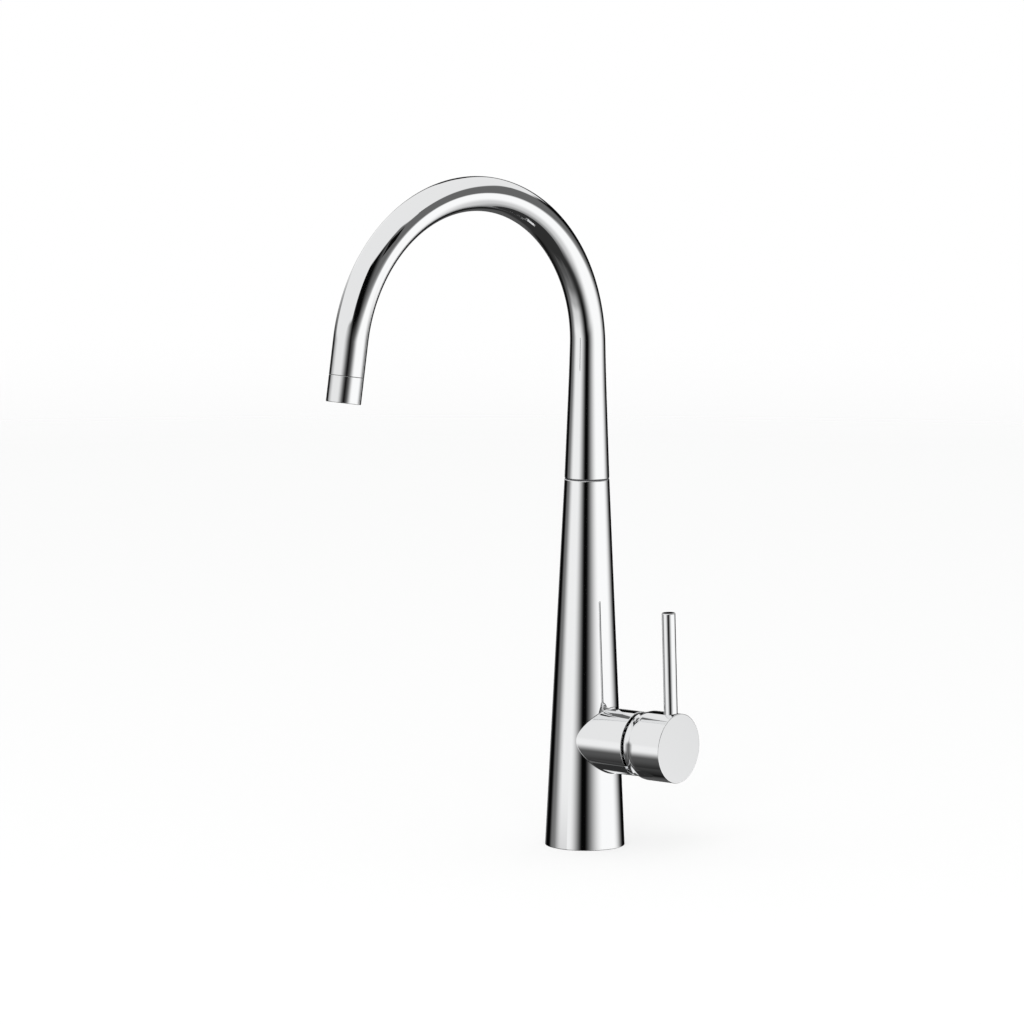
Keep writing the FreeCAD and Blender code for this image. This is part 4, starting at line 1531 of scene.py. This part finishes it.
    def build_floor(self) -> None:
        """Builds the pale floor, which fades into the white room."""
        shape = bmesh.new()
        bmesh.ops.create_circle(
            shape, cap_ends=True, radius=self.floor_radius, segments=self.floor_sides
        )
        made, sheet = new_material("pale_floor")
        shader = sheet.fed(sheet.tree.nodes["Principled BSDF"], {
            "Base Color": self.floor_colour,
            "Roughness": 1.0,
            "Specular IOR Level": 0.0,
        })
        vector = {0: sheet.node("ShaderNodeTexCoord").outputs["Object"]}
        length = sheet.node("ShaderNodeVectorMath", vector, operation="LENGTH").outputs["Value"]
        fade = sheet.rising(length, self.floor_fade_start, self.floor_fade_end)
        seen = sheet.node("ShaderNodeLightPath").outputs["Is Camera Ray"]
        clear = sheet.calculate("MAXIMUM", fade, sheet.span(seen, 0.0, self.floor_clear))
        sheet.cover(sheet.cleared(shader.outputs["BSDF"], clear))
        floor = placed("floor", stored(shape, "floor"))
        floor.data.materials.append(made)
        floor.visible_glossy = False

    @staticmethod
    def flag_material(flag: Flag) -> bpy.types.Material:
        """Glow of a flag, from its tone at the foot to its other tone or to clear at the top.

        Args:
            flag: The card.

        Returns:
            The material.
        """
        made, sheet = new_material(flag.name)
        vector = sheet.node("ShaderNodeTexCoord").outputs["Object"]
        height = sheet.node("ShaderNodeSeparateXYZ", {"Vector": vector}).outputs["Z"]
        rise = sheet.rising(height, flag.low, flag.high)
        crest = flag.top_tone or flag.tone
        colour = sheet.blend(rise, flag.tone.colour, crest.colour)
        glow = sheet.node("ShaderNodeEmission", {"Color": colour}).outputs["Emission"]
        sheet.cover(glow if flag.top_tone else sheet.cleared(glow, rise))
        return made

    def build_flag(self, flag: Flag) -> None:
        """Stands a bent card near the object, for its reflections alone.

        Args:
            flag: The card.
        """
        shape = bmesh.new()
        side = shape.edges.new([
            shape.verts.new((self.flag_radius, 0.0, height)) for height in (flag.low, flag.high)
        ])
        moved(shape, Matrix.Rotation(math.radians(self.view_heading + flag.start), 4, "Z"))
        bmesh.ops.spin(
            shape,
            geom=[*side.verts, side],
            cent=ORIGIN,
            axis=UPRIGHT,
            angle=math.radians(flag.end - flag.start),
            steps=self.flag_steps,
        )
        card = placed(flag.name, stored(shape, flag.name))
        card.data.materials.append(self.flag_material(flag))
        card.visible_camera = False
        card.visible_diffuse = False
        card.visible_transmission = False
        card.visible_shadow = False

    def build_lamp(self) -> None:
        """Hangs the soft lamp, aimed at the middle of the object."""
        data = bpy.data.lights.new("soft_lamp", "AREA")
        data.shape = "DISK"
        data.size = self.lamp_size
        data.energy = self.lamp_power
        lamp = placed("soft_lamp", data)
        middle = (Vector(CAD_BOX[0]) + Vector(CAD_BOX[1])) / 2.0
        lamp.matrix_world = aimed(self.lamp_place, middle - Vector(self.lamp_place))
        lamp.visible_glossy = False

    def build(self) -> None:
        """Builds the whole studio."""
        self.build_world()
        self.build_floor()
        for flag in self.flags:
            self.build_flag(flag)
        self.build_lamp()
        log.info("studio ready")


def aimed(place: Sequence[float], forward: Vector) -> Matrix:
    """Matrix of a lamp or a camera that stands at a place and looks along a direction."""
    return Matrix.Translation(place) @ forward.to_track_quat("-Z", "Y").to_matrix().to_4x4()


@dataclass
class PhotoCamera:
    """Camera at the photograph's viewing angle."""

    place: tuple[float, float, float] = (2.3783, -3.1801, 0.7136)
    heading: float = 127.481
    pitch: float = -7.139
    roll: float = 0.241
    lens: float = 218.5
    sensor: float = 36.0
    half_pixel: float = 0.5 / 1024.0
    farthest: float = 100.0

    def build(self) -> None:
        """Places the camera and makes it the scene's own."""
        data = bpy.data.cameras.new("photo_camera")
        data.shift_x = -self.half_pixel
        data.shift_y = self.half_pixel
        data.lens = self.lens
        data.sensor_width = self.sensor
        data.clip_end = self.farthest
        heading = math.radians(self.heading)
        pitch = math.radians(self.pitch)
        forward = Vector((
            math.cos(heading) * math.cos(pitch),
            math.sin(heading) * math.cos(pitch),
            math.sin(pitch),
        ))
        roll = Matrix.Rotation(math.radians(self.roll), 4, "Z")
        camera = placed("photo_camera", data)
        camera.matrix_world = aimed(self.place, forward) @ roll
        bpy.context.scene.camera = camera
        log.info("camera ready")


def main() -> None:
    """Builds the tap's visible pieces, its finishes, the studio and the camera."""
    logging.basicConfig(level=logging.INFO, format="%(name)s: %(message)s")
    bpy.context.scene.view_settings.view_transform = "Standard"
    finishes = Finishes()
    finishes.dress_frame()
    shop = Workshop(finishes)
    for part in (TaperedBody(), GrooveTrim(), Handle(), SwanNeck()):
        part.build(shop)
    Studio().build()
    PhotoCamera().build()


if __name__ == "__main__":
    main()
